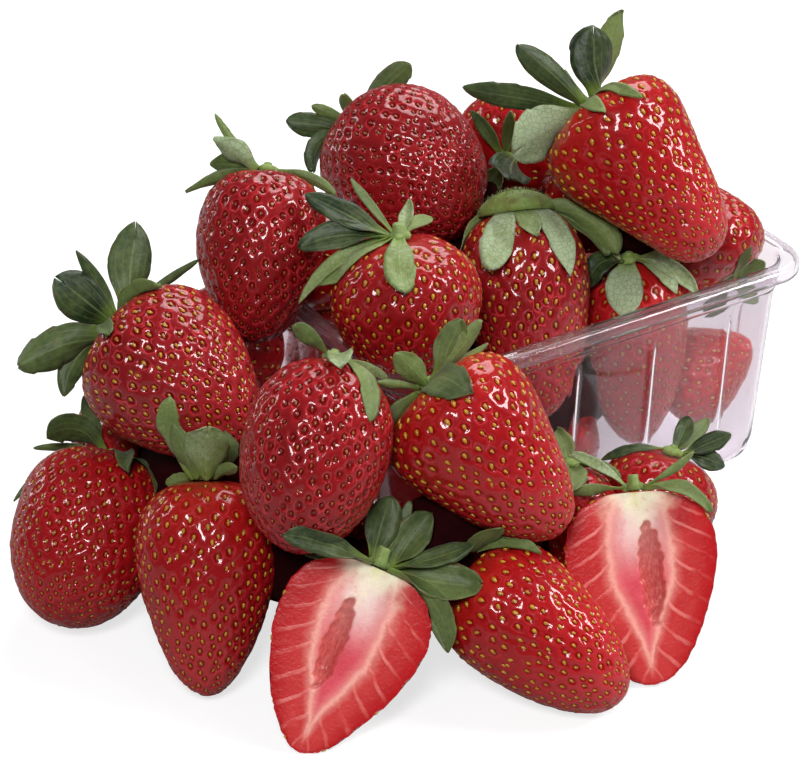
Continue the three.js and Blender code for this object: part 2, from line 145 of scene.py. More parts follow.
def add_floor():
    mesh = bpy.data.meshes.new("floor")
    half = FLOOR_SPAN / 2
    corners = [(-half, -half, 0), (half, -half, 0), (half, half, 0), (-half, half, 0)]
    mesh.from_pydata(corners, [], [(0, 1, 2, 3)])
    floor = bpy.data.objects.new("floor", mesh)
    floor.location.z = -FLOOR_DROP
    bpy.context.collection.objects.link(floor)
    white = material("floor_white")
    tree = white.node_tree
    shader = shader_of(white, Base_Color=FLOOR_WHITE, Roughness=0.6, Specular_IOR_Level=0.1,
                       Emission_Color=SKY_WHITE)
    tree.links.new(seen_by_camera(tree, FLOOR_GLOW, 0.0), shader.inputs["Emission Strength"])
    mesh.materials.append(white)


add_floor()
print("the floor is", FLOOR_SPAN, "m wide")

# %% Lamps and sky
SKY_STRENGTH = 0.1  # as a light
SKY_SEEN = 1.0  # as a backdrop
LAMP_DISTANCE = 1.2  # from the camera's target, m
LAMPS = {  # how far to the right, up and near; width and height, m; power, W
    "top_box": (0.2, 0.95, -0.1, (0.8, 0.8), 11),
    "right_box": (0.75, 0.5, 0.35, (0.35, 0.35), 9),
    "left_strip": (-0.8, 0.5, -0.2, (0.16, 0.6), 2.5),
    "front_box": (-0.1, 0.25, 0.95, (0.3, 0.3), 8.5),
}
VIEW_RIGHT = Vector((math.cos(AZIMUTH), math.sin(AZIMUTH), 0))
VIEW_UP = view_from.cross(VIEW_RIGHT)


def add_lamp(name, right, up, near, size, power):
    """A soft box that shines on the target from the direction given."""
    lamp = bpy.data.lights.new(name, "AREA")
    lamp.shape = "RECTANGLE"
    lamp.size, lamp.size_y = size
    lamp.energy = power
    holder = bpy.data.objects.new(name, lamp)
    way = (VIEW_RIGHT * right + VIEW_UP * up + view_from * near).normalized()
    holder.location = TARGET + way * LAMP_DISTANCE
    holder.rotation_euler = way.to_track_quat("Z", "Y").to_euler()
    bpy.context.collection.objects.link(holder)


for lamp_name, placed in LAMPS.items():
    add_lamp(lamp_name, *placed)

sky = bpy.data.worlds.new("sky")
sky.use_nodes = True
sky_light = sky.node_tree.nodes["Background"]
sky_light.inputs["Color"].default_value = SKY_WHITE
sky.node_tree.links.new(seen_by_camera(sky.node_tree, SKY_SEEN, SKY_STRENGTH),
                        sky_light.inputs["Strength"])
bpy.context.scene.world = sky
bpy.context.scene.view_settings.view_transform = "Standard"
print("a sky and", len(bpy.data.lights), "lamps")

# %% [markdown]
# ## The berries' sizes
#
# Each berry is a row of nine numbers: where its middle is, which way it
# points, how long and wide it is, and how its outline swells. They are the
# same rows that the solids are made from, so the fine skins lie on them.
#
# A leaf is a row of five: its turn round the calyx, its lift off the
# shoulder, its curl, its length and its width. `tones` says how dark the
# showing face of each leaf is, from a pale downy back to a dark waxy front.
#
# `skin` holds what makes the berries differ: the seeds' spacing, the pits'
# depth, ripeness (set darker on the berries that lie in shade, which is
# painted shade), how golden the seeds are, how orange the shoulder is, and
# how much closer the seeds sit at the tip than at the calyx. `stalk` is the
# length and radius of a stub that was left on, and `pocket` is the hollow in
# a half's cut face: its place, length, width and depth. All lengths are in mm.

# %% The berries in the punnet
IN_PUNNET = {
    "topRight": dict(
        berry=[26, -29, 96, -73, -34, 55, 42, 0.55, 0.55], stalk=[11, 1.3],
        leaves=[[55, 45, 10, 25, 7.5], [336, 50, -10, 19, 13], [315, 35, 0, 26, 9.5],
                [100, 45, -30, 33, 7.5], [115, 15, -20, 23, 15.5],
                [20, -2, -55, 27, 4], [45, -5, -36, 23, 5]],
        tones=[0.9, 0.95, 0.4, 0.85, 0, 0.35, 0.4], skin=[3.65, 0.55, 0.35, 0.95, 0.4, 0.36]),
    "topMiddle": dict(
        berry=[-19, 24, 88, -83, -14, 51, 45, 0.15, 0],
        leaves=[[95, 25, 0, 17, 7.5], [310, 10, -20, 20, 8.5], [103, 21, -94, 22, 6],
                [65, 35, 10, 11, 3.5], [25, 20, -20, 9, 4]],
        tones=[0.9, 0.75, 0.85, 0.5, 0.5], skin=[3.5, 0.7, 0.95, 0.15, 0, 0.18]),
    "leftRim": dict(
        berry=[-76, 9, 84, -129, -51, 48, 35, 0.25, 0.1],
        leaves=[[75, 35, 20, 18, 2.5], [65, 30, 0, 14, 7], [92, 10, 0, 13, 7.5],
                [85, -10, -30, 20, 4], [260, 0, -30, 17, 3], [250, -5, -40, 11, 3.5]],
        tones=[0.3, 0.1, 0.6, 0.6, 0.5, 0.4], skin=[3.4, 0.7, 0.95, 0.15, 0, 0.18]),
    "frontRim": dict(
        berry=[-53, -28.5, 78, -103, -75, 41, 40, 0.2, 0], stalk=[3, 1.8],
        leaves=[[315, 30, -10, 24, 8], [302, 15, -20, 24, 8.5], [292, -5, -40, 30, 4],
                [285, -15, -30, 22, 10], [216, -14, -20, 21, 8.6], [45, 25, 0, 13, 4],
                [65, 20, -30, 13, 4.5], [350, 40, 0, 19, 3]],
        tones=[0.9, 0.9, 0.3, 0.25, 0.25, 0.2, 0.35, 0.6],
        skin=[3.8, 0.75, 0.7, 0.8, 0.1, 0.15]),
    "trayMiddle": dict(
        berry=[-9, -22, 61, -111, -57, 60, 36, 0.3, 0.1],
        leaves=[[33, -24, -36, 28, 9.5], [1, -26, -4, 20, 6.5], [334, -13, -82, 29, 8.5],
                [281, 0, -50, 31, 8], [276, -10, -60, 31, 3.5], [107, 0, -90, 20, 4],
                [282, -7, -63, 27, 7]],
        # its ripeness of 1.0 is partly painted shade, as this berry lies in shade
        tones=[0.1, 0.25, 0, 0.45, 0.2, 0.2, 0.6], skin=[3.75, 0.65, 1.0, 0.85, 0.25, 0.2]),
    "trayRight": dict(
        berry=[23, -29, 42, -66, -85, 59, 31, 0.3, 0.1],
        leaves=[[225, -5, -80, 17, 10.5], [150, 0, -70, 15, 5], [140, 0, -60, 20, 5],
                [125, 10, -20, 14, 3.5], [266, 55, -166, 17, 8]],
        tones=[0, 0.1, 0.15, 0.2, 0.9], skin=[3.9, 0.5, 0.6, 0.5, 0.1, 0.2]),
    "behindRight": dict(
        berry=[48, -25, 70, 99, 39, 33, 34, 0.3, 0.1],
        leaves=[[350, -15, 20, 17, 3], [30, 5, 0, 9, 6], [120, 30, 0, 12, 4.5],
                [180, 20, -40, 14, 5]],
        tones=[0.6, 0.6, 0.6, 0.6], skin=[3.6, 0.6, 0.6, 0.6, 0, 0.2]),
    "trayCorner": dict(
        berry=[49, -30, 29, -45, 40, 32, 29, 0.5, 0.1], leaves=[], tones=[],
        skin=[3.4, 0.5, 0.4, 0.6, 0, 0.2]),
    "backRim": dict(
        berry=[26, 38, 81, 48, -2, 34, 33, 0.3, 0.1],
        leaves=[[335, 10, 10, 17, 4], [58, 87, -9, 19, 13], [210, 30, -30, 9, 7],
                [10, 20, 0, 16, 4]],
        tones=[0.8, 0.95, 0.6, 0.6], skin=[3.5, 0.5, 0.5, 0.6, 0, 0.2]),
}
PUNNET_FILL = [
    [-38, -23, 17, 22, -12, 40, 34], [-43, 19, 18, 99, 3, 42, 35],
    [-2, 21, 18, 10, -1, 42, 34], [0, -17, 16, 167, -2, 34, 30],
    [42, 20, 18, 70, 2, 42, 34], [17, -1, 39, -152, 23, 36, 32],
    [-39, 28, 50, 157, 7, 42, 34], [1, 25, 54, 76, 12, 40, 33],
    [37, 28, 48, 29, -11, 38, 33], [-20, -2, 39, 15, -4, 38, 32],
    [-45, -26, 48, -120, 40, 40, 34], [-45, 12, 42, 90, 0, 40, 33],
    [-43, 28, 34, 90, 0, 30, 29], [30, 4, 75, 60, 10, 32, 28],
    [-48, 14, 72, 0, -15, 38, 28],
]
print(len(IN_PUNNET), "berries show in the punnet, over", len(PUNNET_FILL), "hidden ones")

# %% The spilled berries and the halves
SPILLED = {
    "frontMiddle": dict(
        berry=[-57, -76, 58, -65, -36, 52, 42, 0.48, 0.35],
        leaves=[[40, 45, 20, 12, 7], [32, -11, -24, 24, 11], [315, 20, 0, 16, 8.5],
                [308, 0, 10, 19, 5.5], [288, -15, 10, 19, 3], [135, 5, -60, 16, 7],
                [80, 30, 0, 14, 2.5]],
        tones=[0.45, 0.7, 0.65, 0.5, 0.4, 0.6, 0.5], skin=[3.7, 0.65, 0.45, 0.85, 0.3, 0.22]),
    "frontLeft": dict(
        berry=[-101, -61, 66, -139, -49, 51, 38, 0.1, 0],
        leaves=[[32, 20, -10, 13, 4.5], [337, 12, -70, 16, 7], [303, -13, -61, 24, 6.3],
                [230, 0, -20, 13, 2.5]],
        tones=[0.6, 0.2, 0.45, 0.2], skin=[3.5, 0.8, 0.85, 0.15, 0, 0.15]),
    "outerLeft": dict(
        berry=[-111, -8, 64, -69, -26, 49, 44, 0.3, 0.1],
        leaves=[[112, 25, -20, 25, 11], [128, 15, -40, 22, 7.5], [52, 40, 10, 19, 12.5],
                [15, 45, 10, 20, 4], [315, 35, 0, 24, 12.5], [355, -9, -22, 19, 9],
                [51, -6, -39, 22, 5], [295, 0, -20, 25, 2.5]],
        tones=[0.75, 0.75, 0.95, 0.85, 0.85, 0.45, 0.7, 0.8],
        # its ripeness of 1.0 is partly painted shade, as this berry lies in shade
        skin=[3.7, 0.75, 1.0, 0.75, 0.2, 0.2]),
    "farLeft": dict(
        berry=[-139, -4, 22, -140, -34, 50, 41, 0.12, 0.15],
        leaves=[[52, 40, -90, 19, 8.5], [85, 5, -40, 19, 2.5], [67, 50, 0, 16, 5],
                [330, -10, -43, 22, 6], [293, -5, -54, 21, 4.5], [95, -10, -60, 28, 3.5]],
        tones=[0.85, 0.75, 0.75, 0.75, 0.75, 0.7], skin=[3.35, 0.65, 0.5, 0.6, 0, 0.2]),
    "floorLeft": dict(
        berry=[-125, -46, 26, -122, -57, 57, 37, 0.38, 0.12],
        leaves=[[80, 45, 60, 22, 6.5], [359, 59, -31, 19, 12], [270, 50, 50, 12, 7],
                [45, 45, 40, 15, 6], [315, 20, 0, 9, 4], [110, -10, 0, 9, 4]],
        tones=[0.3, 0.2, 0.6, 0.6, 0.4, 0.4], skin=[3.5, 0.65, 0.45, 0.75, 0.3, 0.2]),
    "floorFront": dict(
        berry=[-58, -101, 18, -62, -26, 53, 35, 0.3, 0.25],
        leaves=[[353, 7, -84, 26, 4], [2, 9, -35, 19, 7], [330, 50, 0, 12, 6]],
        tones=[0.5, 0.5, 0.5], skin=[3.5, 0.5, 0.25, 0.9, 0.4, 0.25]),
    "floorRight": dict(
        berry=[-2, -73, 19, -161, -62, 38, 33, 0.3, 0.1],
        leaves=[[165, 45, 10, 11, 5], [230, 35, 0, 14, 6], [235, 15, -30, 12, 6.5],
                [35, -5, -30, 18, 3], [167, 9, 34, 20, 4.5]],
        tones=[0.9, 0.95, 0.95, 0.9, 0.5], skin=[3.5, 0.5, 0.55, 0.6, 0, 0.2]),
    "floorShade": dict(
        berry=[-31, -73, 23, -136, -70, 41, 27, 0.3, 0.1],
        leaves=[[20, 26, -11, 13, 6], [215, 11, -35, 17, 7.5], [145, 10, -60, 11, 4]],
        tones=[0.5, 0.5, 0.5], skin=[3.5, 0.5, 0.55, 0.5, 0, 0.2]),
}
SPILL_FILL = [
    [-94, -50, 35, -170, -67, 27, 29], [-114, 21, 33, -17, -40, 26, 30],
    [-92, 14, 17, 131, -18, 42, 36], [-90, -26, 17, -153, -12, 40, 36],
    [-78, 50, 17, 83, 0, 42, 34], [-68, -58, 16, -56, -5, 38, 34],
    [-85, 22, 50, -159, 2, 40, 34],
]
FILL_SHAPE = [0.3, 0.1]  # the last two numbers of every hidden berry's row
FILL_SKIN = [4.2, 0.5, 0.6, 0.5, 0, 0.15]
HALVES = {
    "half_left": dict(
        berry=[-109, -85, 21, -162, -52, 52, 39, 0.4, 0.1], stalk=[4, 1.6],
        pocket=dict(along=-3, across=2.6, length=27, width=6, depth=3),
        leaves=[[17, 4, -8, 28, 7.4], [35, -15, -20, 16, 2.5], [110, 70, 10, 16, 9],
                [200, 65, 0, 17, 9.5], [230, 30, 20, 21, 6], [235, 5, 10, 23, 11],
                [237, 2, -64, 27, 8], [160, 65, 10, 17, 3.5]],
        tones=[0.9, 0.85, 0.8, 0.75, 0.85, 0.65, 0.6, 0.7], skin=[3.8, 0.5, 0.4, 0.85, 0.2, 0.2]),
    "half_right": dict(
        berry=[-27, -103, 23, -112, -58, 52, 40, 0.35, 0.15], stalk=[3, 1.4],
        pocket=dict(along=-3, across=-2.4, length=29, width=7, depth=3),
        leaves=[[100, 0, 10, 16, 3.5], [290, 5, -60, 19, 6], [285, 15, 30, 15, 2.5],
                [139, 43, -24, 19, 3.2]],
        tones=[0.4, 0.5, 0.3, 0.15], skin=[3.8, 0.5, 0.4, 0.85, 0.2, 0.2]),
}
CUT_HEADING, CUT_PITCH = math.radians(-122), math.radians(31)
print(len(SPILLED), "berries show on the floor, over", len(SPILL_FILL), "hidden ones")

# %% [markdown]
# ## The form of a berry
#
# A strawberry is nearly a solid of revolution: a cone with rounded ends and a
# small dip where the leaves grow. It could be sculpted, but a formula gives
# every point and its normal, which the pits, the seeds and the leaves all
# need. `Form` holds one berry: its own directions and its outline, sampled
# finely from the calyx pole to the tip.

# %% The form of a berry
DIMPLE_DEPTH = 1.6  # of the dip at the calyx, mm
DIMPLE_REACH = 0.42  # radians from the calyx pole
OUTLINE_STEPS = 361
SWELL = 0.35  # how far the skin wanders off the true outline, mm
SWELL_WAVES = 7  # waves across the berry that add up to the wandering
WAVE_TURN = 0.16  # radians of each wave per mm
STEEP = 0.9  # a berry this near upright takes its own up from the y axis


def unit(vectors):
    return vectors / np.linalg.norm(vectors, axis=-1, keepdims=True)


class Form:
    """One berry: its directions, its outline and its own random numbers."""

    def __init__(self, row, seed):
        x, y, z, heading, pitch, length, width, shoulder, bluntness = row
        heading, pitch = math.radians(heading), math.radians(pitch)
        self.length, self.width = length, width
        self.middle = np.array([x, y, z], float)
        self.axis = np.array([math.cos(heading) * math.cos(pitch),
                              math.sin(heading) * math.cos(pitch), math.sin(pitch)])
        steep = abs(self.axis[2]) >= STEEP
        up = np.array([0.0, 1, 0]) if steep else np.array([0.0, 0, 1])
        self.up = unit(up - self.axis * up.dot(self.axis))
        self.side = np.cross(self.axis, self.up)
        self.calyx = self.middle - self.axis * length / 2
        self.theta = np.linspace(0, math.pi, OUTLINE_STEPS)
        lean = np.cos(self.theta)
        outline = np.sin(self.theta) * (1 + shoulder * lean + bluntness * lean ** 2)
        self.radius = width / 2 * outline / outline.max()
        dip = DIMPLE_DEPTH * np.exp(-(self.theta / DIMPLE_REACH) ** 2)
        self.along = length * (1 - lean) / 2 + dip
        self.d_radius = np.gradient(self.radius, self.theta)
        self.d_along = np.gradient(self.along, self.theta)
        self.stride = np.hypot(self.d_radius, self.d_along)
        self.random = np.random.default_rng(seed)
        self.waves = self.random.normal(size=(SWELL_WAVES, 3)) * WAVE_TURN
        self.shifts = self.random.uniform(0, 2 * math.pi, SWELL_WAVES)

    def sample(self, values, theta):
        return np.interp(theta, self.theta, values)

    def outward(self, turn):
        return np.outer(np.cos(turn), self.up) + np.outer(np.sin(turn), self.side)

    def slopes(self, theta):
        """How fast the skin runs along the axis, and away from it."""
        return (self.sample(self.d_along, theta)[:, None],
                self.sample(self.d_radius, theta)[:, None])

    def point(self, theta, turn, lift=0.0):
        """Points of the skin, lifted off it, and the directions they face."""
        along = self.sample(self.along, theta)
        radius = self.sample(self.radius, theta)
        base = self.calyx + np.outer(along, self.axis) + self.outward(turn) * radius[:, None]
        normal = self.normal(theta, turn)
        swell = np.cos(base @ self.waves.T + self.shifts).mean(axis=1) * SWELL * 2
        swell *= np.minimum(np.sin(theta) * 2, 1)  # none at the two poles
        return base + normal * (swell + lift)[:, None], normal

    def normal(self, theta, turn):
        along, away = self.slopes(theta)
        return unit(self.outward(turn) * along - away * self.axis)

    def meridian(self, theta, turn):
        """The direction that runs along the skin from the calyx to the tip."""
        along, away = self.slopes(theta)
        return unit(self.outward(turn) * away + along * self.axis)

    def push_out(self, points, gap):
        """Moves points that lie inside the berry to just above its skin."""
        local = points - self.calyx
        along = local @ self.axis
        flat = local - np.outer(along, self.axis)
        radius = np.linalg.norm(flat, axis=1)
        out = flat / np.maximum(radius, 1e-6)[:, None]
        apart = np.hypot(along[:, None] - self.along, radius[:, None] - self.radius)
        near = apart.argmin(axis=1)
        n_out = self.d_along[near] / self.stride[near]
        n_along = -self.d_radius[near] / self.stride[near]
        height = ((radius - self.radius[near]) * n_out
                  + (along - self.along[near]) * n_along)
        lift = np.clip(gap - height, 0, None)
        return points + (out * n_out[:, None] + np.outer(n_along, self.axis)) * lift[:, None]


sample_form = Form(IN_PUNNET["topRight"]["berry"], 1)
print("the top right berry is", sample_form.length, "by", sample_form.width, "mm")

# %% [markdown]
# ## Where the seeds sit
#
# Seeds follow the spirals in which the flower's parts grew: each is turned by
# the golden angle from the last. Scattering them at random leaves clumps and
# bare patches, while the golden spiral, stepped by equal areas of skin, gives
# the even rows of the real thing. They crowd a little towards the tip.

# %% Seed places
GOLDEN_ANGLE = math.pi * (3 - math.sqrt(5))
FIRST_SEED, LAST_SEED = 0.4, 3.05  # radians from the calyx pole
SEED_LIMITS = (0.2, 3.1)  # radians, for a seed that is moved off the spiral
SEED_JITTER = 0.13  # of the spacing
ROW_HEIGHT = 0.866  # of a triangle of neighbours, as a share of its side
CROWDING_FROM, CROWDING_OVER = 0.5, 2.3  # radians from the calyx pole
LEAST_RADIUS = 3  # mm, so that a seed near the tip isn't thrown round it


def local_spacing(theta, spacing, crowding):
    """The seeds' spacing, which shrinks from the calyx to the tip."""
    ease = np.clip((theta - CROWDING_FROM) / CROWDING_OVER, 0, 1)
    return spacing * (1 + crowding - 2 * crowding * ease * ease * (3 - 2 * ease))


def spiral(form, spacing, first, last, crowding):
    """Places on the skin, stepped by equal areas of it."""
    density = (spacing / local_spacing(form.theta, spacing, crowding)) ** 2
    weight = density * 2 * math.pi * form.radius * form.stride
    weight[(form.theta < first) | (form.theta > last)] = 0
    total = np.cumsum(weight)
    area = total[-1] * (form.theta[1] - form.theta[0])
    count = int(area / (ROW_HEIGHT * spacing ** 2))
    theta = np.interp((np.arange(count) + 0.5) / count, total / total[-1], form.theta)
    return theta, np.arange(count) * GOLDEN_ANGLE


def seed_places(form, spacing, crowding):
    theta, turn = spiral(form, spacing, FIRST_SEED, LAST_SEED, crowding)
    wobble = form.random.normal(size=(2, len(theta))) * SEED_JITTER * spacing
    theta = theta + wobble[0] / form.sample(form.stride, theta)
    turn = turn + wobble[1] / np.maximum(form.sample(form.radius, theta), LEAST_RADIUS)
    return np.clip(theta, *SEED_LIMITS), turn


sample_skin = IN_PUNNET["topRight"]["skin"]
sample_places, _ = seed_places(sample_form, sample_skin[0], sample_skin[5])
print(len(sample_places), "seeds on the top right berry")

# %% [markdown]
# ## The skin
#
# Every seed lies in a pit with a raised net of skin between. A bump map would
# shade this but leave the edge of the berry smooth, so the pits are real. The
# points that matter are rings round each seed, with loose points between.
# They are laid out on a flat map of the berry, joined into triangles by
# Blender's Delaunay function, and lifted back onto the berry. This puts the
# triangles where the pits are and nowhere else.

# %% The skin's points on a flat map
CALYX_EDGE = 0.16  # radians from the calyx pole to the skin's edge
MAP_EDGE = 1 / math.tan(CALYX_EDGE / 2)  # that edge's radius on the map
PIT_STRETCH = 1.25  # a pit is longer than it is wide
OUTSIDE, ON_EDGE = 1e-6, 1e-3  # what counts as past that edge, and as on it
AFAR = 1e9  # farther than any point
BATCH = 500  # points measured at once, to spare memory


def to_map(theta, turn):
    """The tip falls on the map's middle, and the calyx far out."""
    reach = 1 / np.tan(theta / 2)
    return np.stack([reach * np.cos(turn), reach * np.sin(turn)], axis=-1)


def from_map(flat):
    reach = np.hypot(flat[:, 0], flat[:, 1])
    return 2 * np.arctan2(1, reach), np.arctan2(flat[:, 1], flat[:, 0])


def ring_on_map(form, theta, turn, radius, count, spin):
    """Points of a small circle of skin round each seed, on the map."""
    reach = 1 / np.tan(theta / 2)
    out = np.stack([np.cos(turn), np.sin(turn)], axis=-1)
    around = np.stack([-np.sin(turn), np.cos(turn)], axis=-1)
    per_mm_out = (1 + reach ** 2) / 2 / form.sample(form.stride, theta)
    per_mm_around = reach / form.sample(form.radius, theta)
    angle = spin[:, None] + 2 * math.pi * np.arange(count) / count
    step_out = (radius * per_mm_out)[:, None] * np.cos(angle) * PIT_STRETCH
    step_around = (radius * per_mm_around)[:, None] * np.sin(angle)
    centre = to_map(theta, turn)
    points = (centre[:, None] + out[:, None] * step_out[..., None]
              + around[:, None] * step_around[..., None])
    return points.reshape(-1, 2)


def nearest_distance(points, others, skip_self=False):
    best = np.full(len(points), AFAR)
    for start in range(0, len(points), BATCH):
        part = points[start:start + BATCH]
        apart = np.linalg.norm(part[:, None] - others[None], axis=2)
        if skip_self:
            apart[np.arange(len(part)), np.arange(start, start + len(part))] = AFAR
        best[start:start + BATCH] = apart.min(axis=1)
    return best


print("the map is", round(2 * MAP_EDGE, 1), "across")


# %% One skin
FINE_RINGS = [(0.38, 4, 0.95), (0.68, 6, 0.55), (1, 7, 0.08)]  # radius, points, depth
COARSE_RINGS = [(0.7, 4, 0.5)]
PIT_SHARE = 0.43  # a pit's radius as a share of the seeds' spacing
PIT_ROOM = 0.46  # and at most this share of the way to the next seed
LIP_SHARE = 1.1  # no loose point comes nearer a seed than this, in pit radii
PILLOW = 0.12  # how far the skin stands up between pits, mm
PIT_DEPTH = 0.85  # mm, for a berry whose own depth is 1
FINE_STEP, COARSE_STEP = 0.36, 0.75  # between loose points, in seed spacings
LOOSE_TURN = 1  # radians that the loose points are turned on from the seeds
CALYX_SIDES = 24
FLOOR_GAP = 0.1  # a berry that lies on the floor is pressed flat there
SAME_PLACE = 1e-7  # points of the map nearer than this are joined


def berry_skin(form, skin, fine):
    """Points, triangles and the masks of one berry's skin, in millimetres."""
    spacing, depth, crowding = skin[0], skin[1] * PIT_DEPTH, skin[5]
    theta, turn = seed_places(form, spacing, crowding)
    centres, _ = form.point(theta, turn)
    room = nearest_distance(centres, centres, skip_self=True)
    pit = np.minimum(room * PIT_ROOM, PIT_SHARE * local_spacing(theta, spacing, crowding))
    rings = FINE_RINGS if fine else COARSE_RINGS
    maps = [to_map(theta, turn)]
    depths = [np.full(len(theta), 1.0)]
    for share, count, low in rings:
        spin = form.random.uniform(0, 1, len(theta))
        maps.append(ring_on_map(form, theta, turn, pit * share, count, spin))
        depths.append(np.full(len(theta) * count, low))
    step = spacing * (FINE_STEP if fine else COARSE_STEP)
    loose_theta, loose_turn = spiral(form, step, CALYX_EDGE, math.pi, crowding)
    loose_turn = loose_turn + LOOSE_TURN
    loose, _ = form.point(loose_theta, loose_turn)
    lip = PIT_SHARE * LIP_SHARE * local_spacing(loose_theta, spacing, crowding)
    clear = nearest_distance(loose, centres) > lip
    maps.append(to_map(loose_theta, loose_turn)[clear])
    depths.append(np.full(clear.sum(), -PILLOW / depth))
    edge = np.arange(CALYX_SIDES) / CALYX_SIDES * 2 * math.pi
    maps.append(to_map(np.full(CALYX_SIDES, CALYX_EDGE), edge))
    depths.append(np.zeros(CALYX_SIDES))
    flat, low = np.concatenate(maps), np.concatenate(depths)
    keep = np.hypot(flat[:, 0], flat[:, 1]) <= MAP_EDGE + OUTSIDE
    flat, low = flat[keep], low[keep]
    found = delaunay_2d_cdt([Vector(p) for p in flat], [], [], 0, SAME_PLACE)
    first = np.array([origin[0] if origin else 0 for origin in found[3]])
    flat, low = np.array([p[:] for p in found[0]]), low[first]
    triangles = np.array(found[2])
    at_theta, at_turn = from_map(flat)
    points, _ = form.point(at_theta, at_turn, -low * depth)
    points, triangles = close_at_calyx(form, points, triangles, flat)
    points[:, 2] = np.maximum(points[:, 2], FLOOR_GAP)
    masks = dict(pit=np.append(np.clip(low, 0, 1), 0),
                 along=np.append(at_theta, 0) / math.pi)
    tilt = np.cross(points[triangles[:, 1]] - points[triangles[:, 0]],
                    points[triangles[:, 2]] - points[triangles[:, 0]])
    centre = points[triangles].mean(axis=1) - form.middle
    if (tilt * centre).sum() < 0:  # the triangles look inwards
        triangles = triangles[:, ::-1]
    return points, triangles, masks, (theta, turn)


def close_at_calyx(form, points, triangles, flat):
    """Joins the open edge at the calyx to one point in the dimple."""
    edge = np.flatnonzero(np.hypot(flat[:, 0], flat[:, 1]) >= MAP_EDGE - ON_EDGE)
    edge = edge[np.argsort(np.arctan2(flat[edge, 1], flat[edge, 0]))]
    pole = len(points)
    points = np.vstack([points, form.calyx + form.axis * DIMPLE_DEPTH])
    fan = np.stack([edge, np.full(len(edge), pole), np.roll(edge, -1)], axis=1)
    return points, np.vstack([triangles, fan])


_, sample_triangles, _, _ = berry_skin(sample_form, sample_skin, True)
print("the top right skin has", len(sample_triangles), "triangles")

# %% [markdown]
# ## Joining many small things into one piece
#
# Thousands of seeds or a hundred leaves as single objects would be slow and
# hard to export. Instances would vanish on export. So each kind of thing is
# gathered into one mesh, and what differs from one to the next is kept as a
# number on each point, which the material reads as an attribute.

# %% Gather and make a piece
class Gathered:
    """Points, triangles and masks of many small things, to become one mesh."""

    def __init__(self):
        self.points, self.triangles, self.masks, self.count = [], [], {}, 0

    def add(self, points, triangles, **masks):
        self.points.append(points)
        self.triangles.append(np.asarray(triangles) + self.count)
        for name, values in masks.items():
            spread = np.broadcast_to(np.asarray(values, float), (len(points),))
            self.masks.setdefault(name, []).append(spread)
        self.count += len(points)


def make_piece(name, gathered, finish, node=None):
    """One object, kept inside the solids' box; it takes the place of the node."""
    points = np.clip(np.concatenate(gathered.points) * MM, CAD_LOW, CAD_HIGH)
    triangles = np.concatenate(gathered.triangles)
    mesh = bpy.data.meshes.new(name)
    mesh.vertices.add(len(points))
    mesh.vertices.foreach_set("co", points.ravel())
    mesh.loops.add(triangles.size)
    mesh.loops.foreach_set("vertex_index", triangles.ravel().astype(np.int32))
    mesh.polygons.add(len(triangles))
    mesh.polygons.foreach_set("loop_start", np.arange(0, triangles.size, 3, dtype=np.int32))
    mesh.polygons.foreach_set("use_smooth", np.full(len(triangles), True))
    for mask, values in gathered.masks.items():
        layer = mesh.attributes.new(mask, "FLOAT", "POINT")
        layer.data.foreach_set("value", np.concatenate(values).astype(np.float32))
    mesh.update(calc_edges=True)
    mesh.validate()
    mesh.materials.append(finish)
    piece = bpy.data.objects.new(name, mesh)
    bpy.context.collection.objects.link(piece)
    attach(piece, "root")
    if node:
        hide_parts(node)
    print(name, "has", len(triangles), "triangles")


def grid_faces(here, after):
    """Two triangles for each cell between columns of points and the next ones."""
    a, b, c, d = here[:-1].ravel(), after[:-1].ravel(), after[1:].ravel(), here[1:].ravel()
    return np.vstack([np.stack([a, b, c], 1), np.stack([a, c, d], 1)])


def turned_to(points, triangles, side):
    """The triangles, all turned over if the first one faces away from the side."""
    a, b, c = points[triangles[0]]
    return triangles[:, ::-1] if np.cross(b - a, c - a).dot(side) < 0 else triangles


# %% [markdown]
# ## Small helpers for materials
#
# A material is a graph of nodes. Placing them by hand in the editor is fine
# for one, but these share many steps, so a few short functions add a node and
# wire it in one line. Effects that several finishes use become node groups.

# %% Node helpers
def set_input(tree, socket, value):
    if isinstance(value, bpy.types.NodeSocket):
        tree.links.new(value, socket)
    else:
        socket.default_value = value


def math_node(tree, operation, a, b=0.0, c=0.0, clamp=False):
    node = tree.nodes.new("ShaderNodeMath")
    node.operation = operation
    node.use_clamp = clamp
    for socket, value in zip(node.inputs, (a, b, c)):
        set_input(tree, socket, value)
    return node.outputs[0]


def colour_mix(tree, share, first, second):
    # a Mix node has its colour sockets at places 6 and 7, and their result at 2
    node = tree.nodes.new("ShaderNodeMix")
    node.data_type = "RGBA"
    set_input(tree, node.inputs[0], share)
    set_input(tree, node.inputs[6], first)
    set_input(tree, node.inputs[7], second)
    return node.outputs[2]


def rise(tree, value, low, high):
    """None below the low value, one above the high one, and smooth between."""
    node = tree.nodes.new("ShaderNodeMapRange")
    node.interpolation_type = "SMOOTHSTEP"
    set_input(tree, node.inputs["Value"], value)
    set_input(tree, node.inputs["From Min"], low)
    set_input(tree, node.inputs["From Max"], high)
    return node.outputs["Result"]


def fall(tree, value, low, high):
    """One below the low value, none above the high one."""
    return math_node(tree, "SUBTRACT", 1.0, rise(tree, value, low, high))


def noise(tree, scale, detail=2.0, roughness=0.5, vector=None):
    node = tree.nodes.new("ShaderNodeTexNoise")
    node.inputs["Scale"].default_value = scale
    node.inputs["Detail"].default_value = detail
    node.inputs["Roughness"].default_value = roughness
    place = vector or tree.nodes.new("ShaderNodeTexCoord").outputs["Object"]
    tree.links.new(place, node.inputs["Vector"])
    return node.outputs["Fac"]


def mask(tree, name):
    node = tree.nodes.new("ShaderNodeAttribute")
    node.attribute_name = name
    return node.outputs["Fac"]


